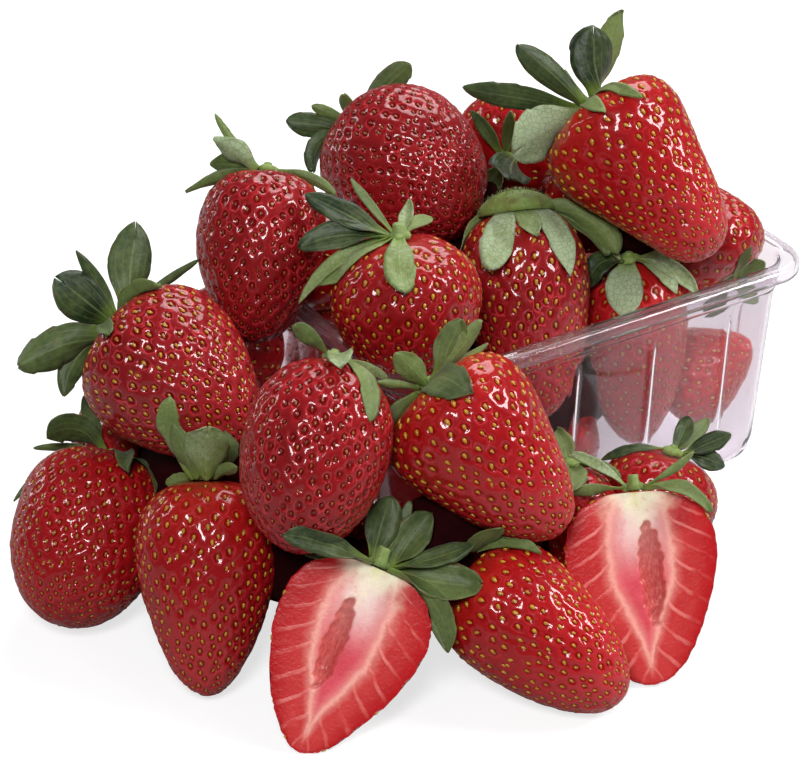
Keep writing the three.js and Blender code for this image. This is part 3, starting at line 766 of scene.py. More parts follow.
def bump(tree, height, distance, strength=1.0, normal=None):
    node = tree.nodes.new("ShaderNodeBump")
    node.inputs["Distance"].default_value = distance
    node.inputs["Strength"].default_value = strength
    tree.links.new(height, node.inputs["Height"])
    if normal:
        tree.links.new(normal, node.inputs["Normal"])
    return node.outputs["Normal"]


def rgb(red, green, blue):
    """A colour given as it shows on screen, from 0 to 255, as Blender's linear one."""
    shown = np.array([red, green, blue]) / 255
    linear = np.where(shown <= 0.04045, shown / 12.92, ((shown + 0.055) / 1.055) ** 2.4)
    return (*linear.tolist(), 1)


print("half grey is", [round(part, 3) for part in rgb(128, 128, 128)], "to Blender")

# %% [markdown]
# ## A mottling group
#
# Fruit and leaves are never one colour: broad patches are riper, fine specks
# catch the light. One group mixes a broad and a fine noise into one mask, and
# each finish uses it at its own scale.

# %% The mottling group
FINE_RATIO = 7.0  # the fine specks are this much smaller than the patches


def mottling_group():
    group = bpy.data.node_groups.new("mottling", "ShaderNodeTree")
    group.interface.new_socket("Scale", in_out="INPUT", socket_type="NodeSocketFloat")
    group.interface.new_socket("Fine", in_out="INPUT", socket_type="NodeSocketFloat")
    group.interface.new_socket("Mask", in_out="OUTPUT", socket_type="NodeSocketFloat")
    inside = group.nodes.new("NodeGroupInput")
    outside = group.nodes.new("NodeGroupOutput")
    place = group.nodes.new("ShaderNodeTexCoord").outputs["Object"]
    sums = []
    for ratio in (1.0, FINE_RATIO):
        layer = group.nodes.new("ShaderNodeTexNoise")
        layer.inputs["Detail"].default_value = 3.0
        group.links.new(place, layer.inputs["Vector"])
        scale = math_node(group, "MULTIPLY", inside.outputs["Scale"], ratio)
        group.links.new(scale, layer.inputs["Scale"])
        sums.append(layer.outputs["Fac"])
    fine = math_node(group, "MULTIPLY", math_node(group, "SUBTRACT", sums[1], 0.5),
                     inside.outputs["Fine"])
    total = math_node(group, "ADD", sums[0], fine, clamp=True)
    group.links.new(total, outside.inputs["Mask"])
    return group


MOTTLING = mottling_group()


def mottling(tree, scale, fine):
    node = tree.nodes.new("ShaderNodeGroup")
    node.node_tree = MOTTLING
    node.inputs["Scale"].default_value = scale
    node.inputs["Fine"].default_value = fine
    return node.outputs["Mask"]


print("mottling group has", len(MOTTLING.nodes), "nodes")

# %% [markdown]
# ## The skin's finish
#
# Ripe skin is a thin clear layer over wet red flesh, so light goes in and
# comes back red, and the surface itself stays glossy. That is subsurface
# scattering under a clear coat. The colour follows the masks: painted shade
# darkens the pits, a pale broken ring round each is partly the skin's colour
# and partly a painted highlight, and the pale net between them is partly
# painted sheen. On the brighter berries a pink net at the tip is painted
# sheen, and the shoulder is orange. Ripeness darkens the red, and on berries
# that lie in shade this darkening is painted shade too. The pits could be
# painted with noise, but the masks know where each one really is.

# %% Strawberry skin
SKIN_RIPE = rgb(114, 2, 7)
SKIN_BRIGHT = rgb(172, 7, 12)
# the pale net between the pits: partly the skin's colour, partly painted sheen
SKIN_NET_SHEEN = rgb(204, 62, 68)
# painted shade: the dark red at the floor of each pit
SKIN_PIT_SHADE = rgb(98, 2, 6)
SKIN_SHOULDER = rgb(190, 50, 20)
# the pale ring is partly a painted highlight, and the net and the tip's paler net partly painted
# sheen
RING_HIGHLIGHT, NET_SHEEN, TIP_SHEEN = 1.2, 0.35, 1.3  # strengths of the pale parts
PIT_SHADE = 0.45  # how far the floor of a pit goes to the dark red


def skin_material():
    made = material("strawberry_skin")
    tree = made.node_tree
    patches = mottling(tree, 55, 0.5)
    # the ripeness mask darkens riper berries, and also, as painted shade, the berries that lie in
    # shade
    ripeness = math_node(tree, "ADD", mask(tree, "ripeness"),
                         math_node(tree, "MULTIPLY_ADD", patches, 0.7, -0.35), clamp=True)
    red = colour_mix(tree, ripeness, SKIN_BRIGHT, SKIN_RIPE)
    # a ring on each pit's rim, broken by noise, and the net between the pits, partly the skin's
    # colour and partly painted highlight and sheen
    pit = mask(tree, "pit")
    net = fall(tree, pit, 0.0, 0.35)
    ring = math_node(tree, "MULTIPLY", rise(tree, pit, 0.04, 0.22), fall(tree, pit, 0.26, 0.5))
    broken = rise(tree, noise(tree, 320, 2), 0.36, 0.62)
    ring = math_node(tree, "MULTIPLY", ring, math_node(tree, "MULTIPLY_ADD", broken, 1.25, 0.35))
    shown = math_node(tree, "MULTIPLY", net, NET_SHEEN)
    shown = math_node(tree, "MULTIPLY_ADD", ring, RING_HIGHLIGHT, shown)
    pale_and_sheen = math_node(tree, "MULTIPLY_ADD", mask(tree, "ripeness"), 0.24, 0.13)
    pale_and_sheen = math_node(tree, "MULTIPLY", pale_and_sheen, shown, clamp=True)
    # painted sheen: the net grows paler towards the tip of a bright berry
    tip = math_node(tree, "MULTIPLY", rise(tree, mask(tree, "along"), 0.45, 0.85),
                    math_node(tree, "MULTIPLY", net, mask(tree, "orange")))
    pale_and_sheen = math_node(tree, "MULTIPLY_ADD", tip, TIP_SHEEN, pale_and_sheen, clamp=True)
    red = colour_mix(tree, pale_and_sheen, red, SKIN_NET_SHEEN)
    # painted shade darkens the floor of each pit
    pit_shade = math_node(tree, "MULTIPLY", rise(tree, pit, 0.35, 1.0), PIT_SHADE)
    red = colour_mix(tree, pit_shade, red, SKIN_PIT_SHADE)
    # and its shoulder turns orange, up to a wavy line
    wavy = math_node(tree, "MULTIPLY_ADD", patches, 0.25, -0.12)
    from_calyx = math_node(tree, "ADD", mask(tree, "along"), wavy)
    orange = math_node(tree, "MULTIPLY", fall(tree, from_calyx, 0.1, 0.38),
                       mask(tree, "orange"))
    red = colour_mix(tree, orange, red, SKIN_SHOULDER)
    shader = shader_of(made, Roughness=0.34, Subsurface_Weight=0.15,
                       Subsurface_Radius=(1.0, 0.2, 0.15), Subsurface_Scale=0.0012,
                       Specular_IOR_Level=0.1, Coat_Weight=0.65, Coat_Roughness=0.06,
                       IOR=1.42)
    tree.links.new(red, shader.inputs["Base Color"])
    grain = noise(tree, 1300, 2)
    tree.links.new(bump(tree, grain, 0.00012, 0.35), shader.inputs["Normal"])
    return made


SKIN = skin_material()
print("skin has", len(SKIN.node_tree.nodes), "nodes")

# %% [markdown]
# ## The seeds' finish
#
# The seeds are dry and hard, golden on a bright berry and brown on a ripe one.
# Each berry could have a material of its own for them, but one is enough: it
# reads from a mask how golden each seed is, and the mottling varies it a little.

# %% Seed finish
SEED_GOLD = rgb(192, 140, 28)
SEED_BROWN = rgb(122, 30, 16)


def seed_material():
    made = material("strawberry_seed")
    tree = made.node_tree
    tone = math_node(tree, "ADD", mask(tree, "gold"),
                     math_node(tree, "MULTIPLY_ADD", mottling(tree, 400, 0.4), 0.5, -0.25),
                     clamp=True)
    shader = shader_of(made, Roughness=0.3, Coat_Weight=0.4, Coat_Roughness=0.1)
    tree.links.new(colour_mix(tree, tone, SEED_BROWN, SEED_GOLD), shader.inputs["Base Color"])
    tree.links.new(bump(tree, noise(tree, 2500), 0.0001, 0.3), shader.inputs["Normal"])
    return made


SEED = seed_material()
print("seed material has", len(SEED.node_tree.nodes), "nodes")

# %% [markdown]
# ## One seed
#
# What looks like a seed is a tiny dry fruit, a teardrop one or two millimetres
# long. It could be modelled by hand, but a stretched sphere with one end drawn
# in is enough at this size, and few faces matter because there are thousands.

# %% The shape of a seed
SEED_LENGTH, SEED_WIDTH, SEED_HEIGHT = 1.75, 1.08, 0.8  # mm
SEED_TAPER = 0.35  # how much fuller one end is than the other
USUAL_SPACING = 3.9  # the seeds are this size where they sit this far apart


def seed_shape(sides, rings):
    """A teardrop that lies along x, as points and triangles."""
    points, triangles = [(-0.5, 0, 0)], []
    for ring in range(1, rings + 1):
        angle = math.pi * ring / (rings + 1)
        reach = 0.5 * math.sin(angle) * (1 + SEED_TAPER * math.cos(angle))
        for side in range(sides):
            turn = 2 * math.pi * side / sides
            points.append((-0.5 * math.cos(angle), reach * math.cos(turn),
                           reach * math.sin(turn)))
    points.append((0.5, 0, 0))
    for side in range(sides):
        after = (side + 1) % sides
        triangles.append((0, 1 + after, 1 + side))
        for ring in range(rings - 1):
            near, far = 1 + ring * sides, 1 + (ring + 1) * sides
            triangles.append((near + side, near + after, far + after))
            triangles.append((near + side, far + after, far + side))
        last = 1 + (rings - 1) * sides
        triangles.append((last + side, last + after, len(points) - 1))
    size = np.array([SEED_LENGTH, SEED_WIDTH, SEED_HEIGHT])
    return np.array(points) * size, np.array(triangles)


FINE_SEED = seed_shape(sides=5, rings=3)
COARSE_SEED = seed_shape(sides=4, rings=1)
print("a seed has", len(FINE_SEED[1]), "triangles, a hidden one", len(COARSE_SEED[1]))

# %% [markdown]
# ## Laying the seeds
#
# A seed lies lengthwise in its pit, a little askew, and deeper than the skin
# round it. They could be scattered by geometry nodes, but the places, the pits'
# depths and the skin's directions are all known here. So the seeds of a berry
# are copies of one shape, sized, turned and set down in one go.

# %% Lay the seeds in their pits
SEED_SUNK = 0.6  # how far down its pit a seed's middle lies, as a share of its depth
DARK_SEED_SHRINK = 0.3  # the brown seeds of a ripe berry are this much smaller
SEED_LEAN = 0.25  # radians that a seed strays from the berry's length
SEED_SIZES = (0.88, 1.12)
SIZE_LIMITS = (0.6, 1.1)  # a close or wide spacing changes the seeds no more
GOLD_SPREAD = 0.12


def add_seeds(gathered, form, skin, theta, turn, fine):
    shape, faces = FINE_SEED if fine else COARSE_SEED
    depth, gold = skin[1] * PIT_DEPTH, skin[3]
    floor_point, normal = form.point(theta, turn, -depth * SEED_SUNK)
    lengthwise = form.meridian(theta, turn)
    sideways = np.cross(normal, lengthwise)
    lean = form.random.normal(size=len(theta)) * SEED_LEAN
    along = lengthwise * np.cos(lean)[:, None] + sideways * np.sin(lean)[:, None]
    across = np.cross(normal, along)
    crowded = local_spacing(theta, skin[0], skin[5]) / USUAL_SPACING
    plump = 1 - DARK_SEED_SHRINK * (1 - gold)
    size = form.random.uniform(*SEED_SIZES, len(theta)) * np.clip(crowded, *SIZE_LIMITS) * plump
    local = shape[None] * size[:, None, None]
    points = (floor_point[:, None] + along[:, None] * local[..., :1]
              + across[:, None] * local[..., 1:2] + normal[:, None] * local[..., 2:])
    triangles = faces[None] + (np.arange(len(theta)) * len(shape))[:, None, None]
    tone = np.clip(gold + form.random.normal(size=len(theta)) * GOLD_SPREAD, 0, 1)
    gathered.add(points.reshape(-1, 3), triangles.reshape(-1, 3),
                 gold=np.repeat(tone, len(shape)))


print("a seed is at most", round(SEED_LENGTH * SEED_SIZES[1] * SIZE_LIMITS[1], 1), "mm long")

# %% [markdown]
# ## The berries
#
# The skins and the seeds of each heap are gathered and take the place of its
# plain solid. Every berry could be as fine, but those that lie under the others
# get a coarser skin, as only slivers of them show. A few of them lie open
# behind the tray's left end, and theirs are as fine as the rest.

# %% Skins and seeds
FORMS = {}
RANDOM_START = 11  # each berry has its own random numbers, counted from here
PAST_THE_END = -75  # mm, just outside the punnet's left end


def new_form(name, row):
    """A berry's form, kept under its name for its leaves."""
    FORMS[name] = Form(row, len(FORMS) + RANDOM_START)
    return FORMS[name]


def add_berry(skins, seeds, name, row, skin, fine):
    form = new_form(name, row)
    points, triangles, masks, (theta, turn) = berry_skin(form, skin, fine)
    skins.add(points, triangles, ripeness=skin[2], orange=skin[4], **masks)
    add_seeds(seeds, form, skin, theta, turn, fine)


def add_heap(label, node, shown, fill):
    skins, seeds = Gathered(), Gathered()
    for name, berry in shown.items():
        add_berry(skins, seeds, name, berry["berry"], berry["skin"], True)
    for place, row in enumerate(fill):
        shows_behind = row[0] < PAST_THE_END and row[1] > 0
        add_berry(skins, seeds, f"{label}_under_{place}", row + FILL_SHAPE, FILL_SKIN,
                  shows_behind)
    make_piece(f"{label}_skins", skins, SKIN, node)
    make_piece(f"{label}_seeds", seeds, SEED)


add_heap("punnet", "berries_in_punnet", IN_PUNNET, PUNNET_FILL)
add_heap("spill", "berries_spilled", SPILLED, SPILL_FILL)
print(len(FORMS), "berries lie in the two heaps")

# %% [markdown]
# ## Leaves
#
# The cap of a strawberry is a ring of small pointed leaves, less than half a
# millimetre thick, that dry into folds and twists. A flat outline with a
# picture on it would do from far off. Here each is a thin closed sheet on the
# same arc as its solid: its two sides fold up from the midrib, its edge is
# toothed and rippled, and it turns its face to the light on the way to its
# tip. Where it would enter a berry it is laid on the skin instead.

# %% The leaf's outline
POINTED_LEAF = [(0, 0.36), (0.12, 0.54), (0.3, 0.9), (0.5, 1.05), (0.7, 0.92),
                (0.86, 0.56), (0.96, 0.22), (1, 0.03)]
BLUNT_LEAF = [(0, 0.3), (0.12, 0.42), (0.35, 0.76), (0.58, 1.03), (0.78, 1.06),
              (0.9, 0.86), (0.97, 0.5), (1, 0.1)]
BLUNTEST = 0.75  # how near a leaf's outline may come to the blunt one
TEETH = (3.5, 3.5 * 1.3)  # along the left edge and the right one
TOOTH_DEPTHS = [0.02, 0.05, 0.13]  # of the half width
TEETH_FROM, TEETH_OVER = 0.35, 0.2  # where along the leaf the teeth set in


def leaf_half_widths(share, width, random):
    blunt = BLUNTEST * random.uniform()
    half = width / 2 * ((1 - blunt) * np.interp(share, *zip(*POINTED_LEAF))
                        + blunt * np.interp(share, *zip(*BLUNT_LEAF)))
    sides = []
    for teeth in TEETH:
        saw = (share * teeth + random.uniform()) % 1
        tooth = random.choice(TOOTH_DEPTHS)
        shown = np.clip((share - TEETH_FROM) / TEETH_OVER, 0, 1)
        sides.append(half * (1 - tooth * saw * shown))
    return sides


print("a pointed leaf is widest at", max(POINTED_LEAF, key=lambda row: row[1])[0], "of its length")

# %% The leaf's middle line
CALYX_RADIUS = 2.5  # mm from the berry's axis, where the leaves start
LEAF_STRETCH = 1.05  # a fine tip reaches a little further than a plain one
LEAF_ROWS, LEAF_COLUMNS = 26, 9
BEND_SPREAD = 9  # degrees that a leaf bends by chance on the way to its tip
ROLL_SPREAD = 0.3  # radians that it rolls by chance
SWAY_SPREAD = 0.05  # of its length, that it strays to one side
FACE_SHARE = 0.7  # how much of the way a leaf turns to the light
FACE_OVER = 0.55  # of its length, on which it turns
LIGHT_SIDE = np.array([-0.46, -0.726, 0.51])  # the way towards the light


def leaf_turn_to_light(tangent, normal):
    """The angle about its own length that shows the leaf's nearer face."""
    angles = []
    for face in (LIGHT_SIDE, -LIGHT_SIDE):
        angles.append(math.atan2(np.cross(normal, face).dot(tangent), normal.dot(face)))
    return min(angles, key=abs)


def leaf_middle(form, leaf, random):
    turn, lift, curl, length, _ = leaf
    length = length * LEAF_STRETCH
    out = form.up * math.cos(math.radians(turn)) + form.side * math.sin(math.radians(turn))
    share = np.linspace(0, 1, LEAF_ROWS)
    bend = random.normal() * BEND_SPREAD
    slope = np.radians(lift + curl * share + bend * share ** 2)
    step = length / (LEAF_ROWS - 1)
    tangent = np.outer(np.cos(slope), out) - np.outer(np.sin(slope), form.axis)
    normal = -np.outer(np.sin(slope), out) - np.outer(np.cos(slope), form.axis)
    middle = form.calyx + out * CALYX_RADIUS + np.vstack(
        [np.zeros(3), np.cumsum((tangent[1:] + tangent[:-1]) / 2 * step, axis=0)])
    roll_full = leaf_turn_to_light(tangent[LEAF_ROWS // 2], normal[LEAF_ROWS // 2])
    ease = np.clip(share / FACE_OVER, 0, 1)
    roll = roll_full * FACE_SHARE * ease ** 2 * (3 - 2 * ease)
    roll = roll + random.normal() * ROLL_SPREAD * share
    across = np.cross(out, form.axis)
    turned_across = across * np.cos(roll)[:, None] + normal * np.sin(roll)[:, None]
    turned_normal = normal * np.cos(roll)[:, None] - across * np.sin(roll)[:, None]
    sway = random.normal() * SWAY_SPREAD * length * share ** 2
    return middle + turned_across * sway[:, None], turned_across, turned_normal, tangent


print("a leaf's middle line has", LEAF_ROWS, "points, the first", CALYX_RADIUS, "mm out")

# %% One leaf as a thin closed sheet
LEAF_THICKNESS = 0.42  # mm
EDGE_THINNING = 0.45  # how much of it is lost at the edge
LEAF_GAP = 0.35  # how far a leaf lies off the skin, mm
LEAF_CUP = 0.12  # how deep the two sides fold, as a share of the width
CUP_SIZES = (0.5, 2.4)  # times as deep, from leaf to leaf
CUP_START, CUP_EASE = 1.2, 0.6  # how deep the fold is at the calyx, and how it opens
CUP_CURVE = 1.4  # how round the fold is across the leaf
EDGE_CURL = (-0.16, 0.08)  # how far the edge turns down or up, of the width
RIPPLES = (8, 15)  # radians of ripple along the edge
RIPPLE_SLANT = 1.6  # radians that the ripple runs ahead from midrib to edge
RIPPLE_HEIGHT = 0.06  # of the width
VEIN_HEIGHT, VEIN_TURN = 0.008, 17  # low ridges that run along the leaf
BROAD_LEAF = 12  # width, mm, from which a leaf's tip has two lobes
LOBE_DEPTH = 0.2  # of the leaf's length
LOBE_FROM, LOBE_HALF = 0.6, 0.5  # where along and how far across the notch is cut
NEAR_BERRY = 2  # mm beyond a berry's reach in which points are looked at


def leaf_faces():
    under = LEAF_ROWS * LEAF_COLUMNS
    index = np.arange(under).reshape(LEAF_ROWS, LEAF_COLUMNS)
    top = grid_faces(index[:, :-1], index[:, 1:])
    bottom = top[:, ::-1] + under
    rim = np.concatenate([index[0], index[1:, -1], index[-1, -2::-1], index[-2:0:-1, 0]])
    after = np.roll(rim, -1)
    strip = np.vstack([np.stack([rim, under + after, after], 1),
                       np.stack([rim, under + rim, under + after], 1)])
    return np.vstack([top, bottom, strip])


LEAF_FACES = leaf_faces()


def lay_on_berries(points, gap, own):
    """Moves points out of the berries near them, and of their own berry last."""
    for form in [other for other in FORMS.values() if other is not own] + [own]:
        reach = max(form.length, form.width) / 2 + gap + NEAR_BERRY
        near = np.linalg.norm(points - form.middle, axis=1) < reach
        if near.any():
            points[near] = form.push_out(points[near], gap)
    return points


def leaf_blade(form, leaf, random):
    """One leaf's points, triangles and masks."""
    length, width = leaf[3:]
    middle, across, normal, tangent = leaf_middle(form, leaf, random)
    share = np.linspace(0, 1, LEAF_ROWS)
    left, right = leaf_half_widths(share, width, random)
    side = np.linspace(-1, 1, LEAF_COLUMNS)
    reach = np.where(side[None] < 0, left[:, None], right[:, None]) * side[None]
    along, aside = share[:, None], np.abs(side)[None]
    fold = LEAF_CUP * random.uniform(*CUP_SIZES) * (CUP_START - CUP_EASE * along)
    height = -fold * width * (1 - aside ** CUP_CURVE)
    height = height + random.uniform(*EDGE_CURL) * width * aside ** 4 * along
    ripple = np.sin(along * random.uniform(*RIPPLES) + side[None] * RIPPLE_SLANT
                    + random.uniform(0, 6))
    height = height + RIPPLE_HEIGHT * width * ripple * aside ** 2 * along
    height = height + VEIN_HEIGHT * width * np.cos(aside * VEIN_TURN)
    notch = LOBE_DEPTH * length * (width >= BROAD_LEAF)
    back = (notch * np.clip((along - LOBE_FROM) / (1 - LOBE_FROM), 0, 1) ** 2
            * np.clip(1 - aside / LOBE_HALF, 0, 1))
    points = (middle[:, None] + across[:, None] * reach[..., None]
              + normal[:, None] * height[..., None] - tangent[:, None] * back[..., None])
    points = lay_on_berries(points.reshape(-1, 3), LEAF_GAP, form)
    along_step = np.gradient(points.reshape(LEAF_ROWS, LEAF_COLUMNS, 3), axis=0)
    side_step = np.gradient(points.reshape(LEAF_ROWS, LEAF_COLUMNS, 3), axis=1)
    sheet_normal = np.cross(side_step, along_step).reshape(-1, 3)
    sheet_normal /= np.maximum(np.linalg.norm(sheet_normal, axis=1), 1e-9)[:, None]
    flips = (sheet_normal * np.repeat(normal, LEAF_COLUMNS, axis=0)).sum(axis=1) < 0
    sheet_normal[flips] *= -1
    thin = LEAF_THICKNESS / 2 * (1 - EDGE_THINNING * np.abs(np.tile(side, LEAF_ROWS)))
    upper = points + sheet_normal * thin[:, None]
    lower = points - sheet_normal * thin[:, None]
    both = np.vstack([upper, lower])
    masks = dict(leaf_along=np.tile(np.repeat(share, LEAF_COLUMNS), 2),
                 leaf_across=np.tile(np.tile(side, LEAF_ROWS), 2))
    return both, turned_to(both, LEAF_FACES, sheet_normal[0]), masks


print("a leaf has", len(LEAF_FACES), "triangles")

# %% [markdown]
# ## The leaves' finish
#
# A strawberry leaf is dark and waxy on one face and pale, downy and veined on
# the other. Its veins could be modelled, but they are finer than the mesh, so
# the large ones are drawn from two masks that say how far along and across the
# leaf a point lies, and the fine net from the edges between scattered cells.
# Brown specks and a dry edge come from noise.

# %% Leaf material
LEAF_DARK = rgb(24, 42, 20)
LEAF_DOWNY = rgb(156, 172, 136)
LEAF_PALE = rgb(138, 156, 88)
LEAF_RIB = rgb(144, 160, 100)
LEAF_NET = rgb(64, 66, 36)
LEAF_FRESH = rgb(116, 140, 50)
LEAF_BROWN = rgb(92, 62, 34)
NET_CELL = 0.0015  # size of the net's cells, m
VEIN_STARTS = (0.26, 0.58)  # how far out the side veins begin, from midrib to edge
VEIN_SPREAD = 0.16


def leaf_ribs(tree, along, across):
    """The midrib, and the veins that run beside it and spread."""
    width = math_node(tree, "ABSOLUTE", across)
    ribs = fall(tree, width, 0.015, 0.08)
    for start in VEIN_STARTS:
        line = math_node(tree, "MULTIPLY_ADD", along, VEIN_SPREAD, start)
        apart = math_node(tree, "ABSOLUTE", math_node(tree, "SUBTRACT", width, line))
        vein = fall(tree, apart, 0.0, 0.05)
        ribs = math_node(tree, "MAXIMUM", ribs, math_node(tree, "MULTIPLY", vein, 0.5))
    return ribs


def leaf_net(tree):
    """The fine net of veins."""
    cells = tree.nodes.new("ShaderNodeTexVoronoi")
    cells.feature = "DISTANCE_TO_EDGE"
    cells.inputs["Scale"].default_value = 1 / NET_CELL
    place = tree.nodes.new("ShaderNodeTexCoord").outputs["Object"]
    tree.links.new(place, cells.inputs["Vector"])
    return fall(tree, cells.outputs["Distance"], 0.0, 0.09)


def leaf_material():
    made = material("strawberry_leaf")
    tree = made.node_tree
    along, across = mask(tree, "leaf_along"), mask(tree, "leaf_across")
    # from a downy back to a dark front, each with some patches of the other
    patches = mottling(tree, 90, 0.7)
    tone = math_node(tree, "ADD", mask(tree, "leaf_tone"),
                     math_node(tree, "MULTIPLY_ADD", patches, 0.5, -0.25), clamp=True)
    green = colour_mix(tree, rise(tree, tone, 0.0, 0.35), LEAF_DOWNY, LEAF_PALE)
    green = colour_mix(tree, tone, green, LEAF_DARK)
    net = leaf_net(tree)
    shown = math_node(tree, "MULTIPLY_ADD", tone, -0.3, 0.46)
    green = colour_mix(tree, math_node(tree, "MULTIPLY", net, shown), green, LEAF_NET)
    # fresher green at the foot, then the ribs, then the dry specks and edge
    fresh = math_node(tree, "MULTIPLY", fall(tree, along, 0.0, 0.3), 0.7)
    green = colour_mix(tree, fresh, green, LEAF_FRESH)
    ribs = math_node(tree, "MULTIPLY", leaf_ribs(tree, along, across),
                     math_node(tree, "MULTIPLY_ADD", along, -0.3, 0.38))
    green = colour_mix(tree, ribs, green, LEAF_RIB)
    specks = rise(tree, noise(tree, 420, 3, 0.6), 0.64, 0.74)
    uneven = math_node(tree, "MULTIPLY", noise(tree, 260), 0.5)
    outwards = math_node(tree, "ADD", math_node(tree, "ABSOLUTE", across), uneven)
    edge = rise(tree, outwards, 1.16, 1.34)
    dry = math_node(tree, "MAXIMUM", math_node(tree, "MULTIPLY", specks, 0.5),
                    math_node(tree, "MULTIPLY", edge, 0.6))
    green = colour_mix(tree, dry, green, LEAF_BROWN)
    shader = shader_of(made, Subsurface_Weight=0.12, Subsurface_Scale=0.0012,
                       Subsurface_Radius=(0.5, 1.0, 0.3), Sheen_Weight=0.06,
                       Specular_IOR_Level=0.28)
    tree.links.new(green, shader.inputs["Base Color"])
    tree.links.new(math_node(tree, "MULTIPLY_ADD", tone, -0.16, 0.58),
                   shader.inputs["Roughness"])
    soft = bump(tree, noise(tree, 500, 3), 0.0004, 0.5)
    netted = bump(tree, net, 0.0002, -0.5, soft)
    tree.links.new(bump(tree, ribs, 0.0003, 0.5, netted), shader.inputs["Normal"])
    return made


LEAF = leaf_material()
print("leaf material has", len(LEAF.node_tree.nodes), "nodes")

# %% [markdown]
# ## Caps and stalks
#
# The leaves grow from a small green dome, with a stub of stalk where it was
# picked. Blender's own cylinders would need fitting one by one. Both are turned
# forms here: rings round the berry's own axis, a little out of round.

# %% Turned forms round a berry's axis
END_DIP = 0.12  # how far the middle of the form's end lies below its rim, mm


def turned(form, outline, sides, wobble, bend=0.0):
    """Rings of (height above the calyx, radius), closed at both ends."""
    turn = np.arange(sides) * 2 * math.pi / sides
    ring = form.outward(turn)
    uneven = 1 + wobble * np.cos(turn * 5 + form.shifts[0]) + wobble * np.cos(turn * 3)
    points = []
    for height, radius in outline:
        middle = form.calyx - form.axis * height + form.up * bend * max(height, 0) ** 2
        points.append(middle + ring * (radius * uneven)[:, None])
    low, high = outline[0][0], outline[-1][0]
    ends = [form.calyx - form.axis * low,
            form.calyx - form.axis * (high - END_DIP) + form.up * bend * high ** 2]
    points = np.vstack(points + ends)
    index = np.arange(len(outline) * sides).reshape(len(outline), sides)
    after = np.roll(index, -1, axis=1)
    start, end = len(points) - 2, len(points) - 1
    faces = np.vstack([
        np.roll(grid_faces(index, after), -1, axis=1),
        np.stack([after[0], index[0], np.full(sides, start)], 1),
        np.stack([index[-1], after[-1], np.full(sides, end)], 1)])
    return points, faces


sample_peg = turned(sample_form, [(0, 1), (1, 1)], sides=6, wobble=0)
print("a plain peg with six sides has", len(sample_peg[1]), "triangles")

# %% Caps, their down and stalks
# height above the calyx and radius, mm
CAP = [(-1.3, 2.5), (-0.5, 2.9), (0.2, 2.7), (0.7, 2.0), (1.0, 1.2)]
WIDE_CAP = [(-2.5, 10.8), (-1.0, 10.6), (0.5, 9.8), (1.8, 8.2), (2.9, 6.1), (3.7, 3.7),
            (4.0, 1.3)]
WIDE_CAPPED = "trayMiddle"  # the berry whose cap is wide and downy
CAP_SIDES, STALK_SIDES = 40, 14
CAP_WOBBLE, WIDE_WOBBLE, STALK_WOBBLE = 0.1, 0.03, 0.06
CAP_ACROSS, WIDE_ACROSS = 0.6, 0.95  # where on a leaf's width each takes its colour from
STALK_BEND = 0.012  # mm sideways, times the square of the height
PLAIN_STALK = [1.6, 1.1]  # length and radius, mm
DOWN_COUNT = 420  # fine hairs on a wide cap
DOWN_LENGTH, DOWN_WIDTH = 1.3, 0.09  # mm
DOWN_LEAN, DOWN_SPREAD = 0.6, 0.35  # towards the stalk, and to any side
HAIR_CORNERS = (0.5, 2.6, 4.7)  # radians round a hair, a third of a turn apart
BEHIND_CUT = 0.2  # how far a cut berry's cap stays behind the knife, mm


def cut_directions(form):
    """The way the cut face looks, and the way across it."""
    face = np.array([math.cos(CUT_HEADING) * math.cos(CUT_PITCH),
                     math.sin(CUT_HEADING) * math.cos(CUT_PITCH), math.sin(CUT_PITCH)])
    face = unit(face - form.axis * face.dot(form.axis))
    return face, np.cross(form.axis, face)


def add_down(gathered, form, points, faces):
    """Fine hairs that stand on a wide cap, each a thin three-sided spike."""
    random = form.random
    chosen = points[faces[random.integers(0, len(faces), DOWN_COUNT)]]
    share = random.dirichlet([1, 1, 1], DOWN_COUNT)
    root = np.einsum("ij,ijk->ik", share, chosen)
    way = unit(unit(root - form.calyx) - form.axis * DOWN_LEAN
               + random.normal(size=(DOWN_COUNT, 3)) * DOWN_SPREAD)
    tip = root + way * random.uniform(0.5, 1, DOWN_COUNT)[:, None] * DOWN_LENGTH
    aside = unit(np.cross(way, form.axis))
    above = np.cross(way, aside)
    corners = [root + (aside * math.cos(turn) + above * math.sin(turn)) * DOWN_WIDTH
               for turn in HAIR_CORNERS]
    spikes = np.stack([*corners, tip], 1).reshape(-1, 3)
    faces = np.array([[0, 1, 3], [1, 2, 3], [2, 0, 3], [0, 2, 1]])
    index = faces[None] + (np.arange(DOWN_COUNT) * 4)[:, None, None]
    gathered.add(spikes, index.reshape(-1, 3), leaf_along=0.0, leaf_across=CAP_ACROSS,
                 leaf_tone=0.0)


def add_cap(gathered, form, stalk, wide, cut):
    outline, wobble = (WIDE_CAP, WIDE_WOBBLE) if wide else (CAP, CAP_WOBBLE)
    points, faces = turned(form, outline, CAP_SIDES, wobble)
    if cut:
        face, _ = cut_directions(form)
        ahead = np.clip((points - form.middle) @ face + BEHIND_CUT, 0, None)
        points = points - np.outer(ahead, face)
    gathered.add(points, faces, leaf_along=0.0,
                 leaf_across=WIDE_ACROSS if wide else CAP_ACROSS, leaf_tone=0.15)
    if wide:
        add_down(gathered, form, points, faces)
    length, radius = stalk
    outline = [(-1, radius * 1.5), (length * 0.2, radius * 1.15), (length * 0.6, radius),
               (length * 0.93, radius * 0.96), (length, radius * 0.8)]
    points, faces = turned(form, outline, STALK_SIDES, STALK_WOBBLE, STALK_BEND)
    gathered.add(points, faces, leaf_along=0.05, leaf_across=0.5, leaf_tone=0.1)


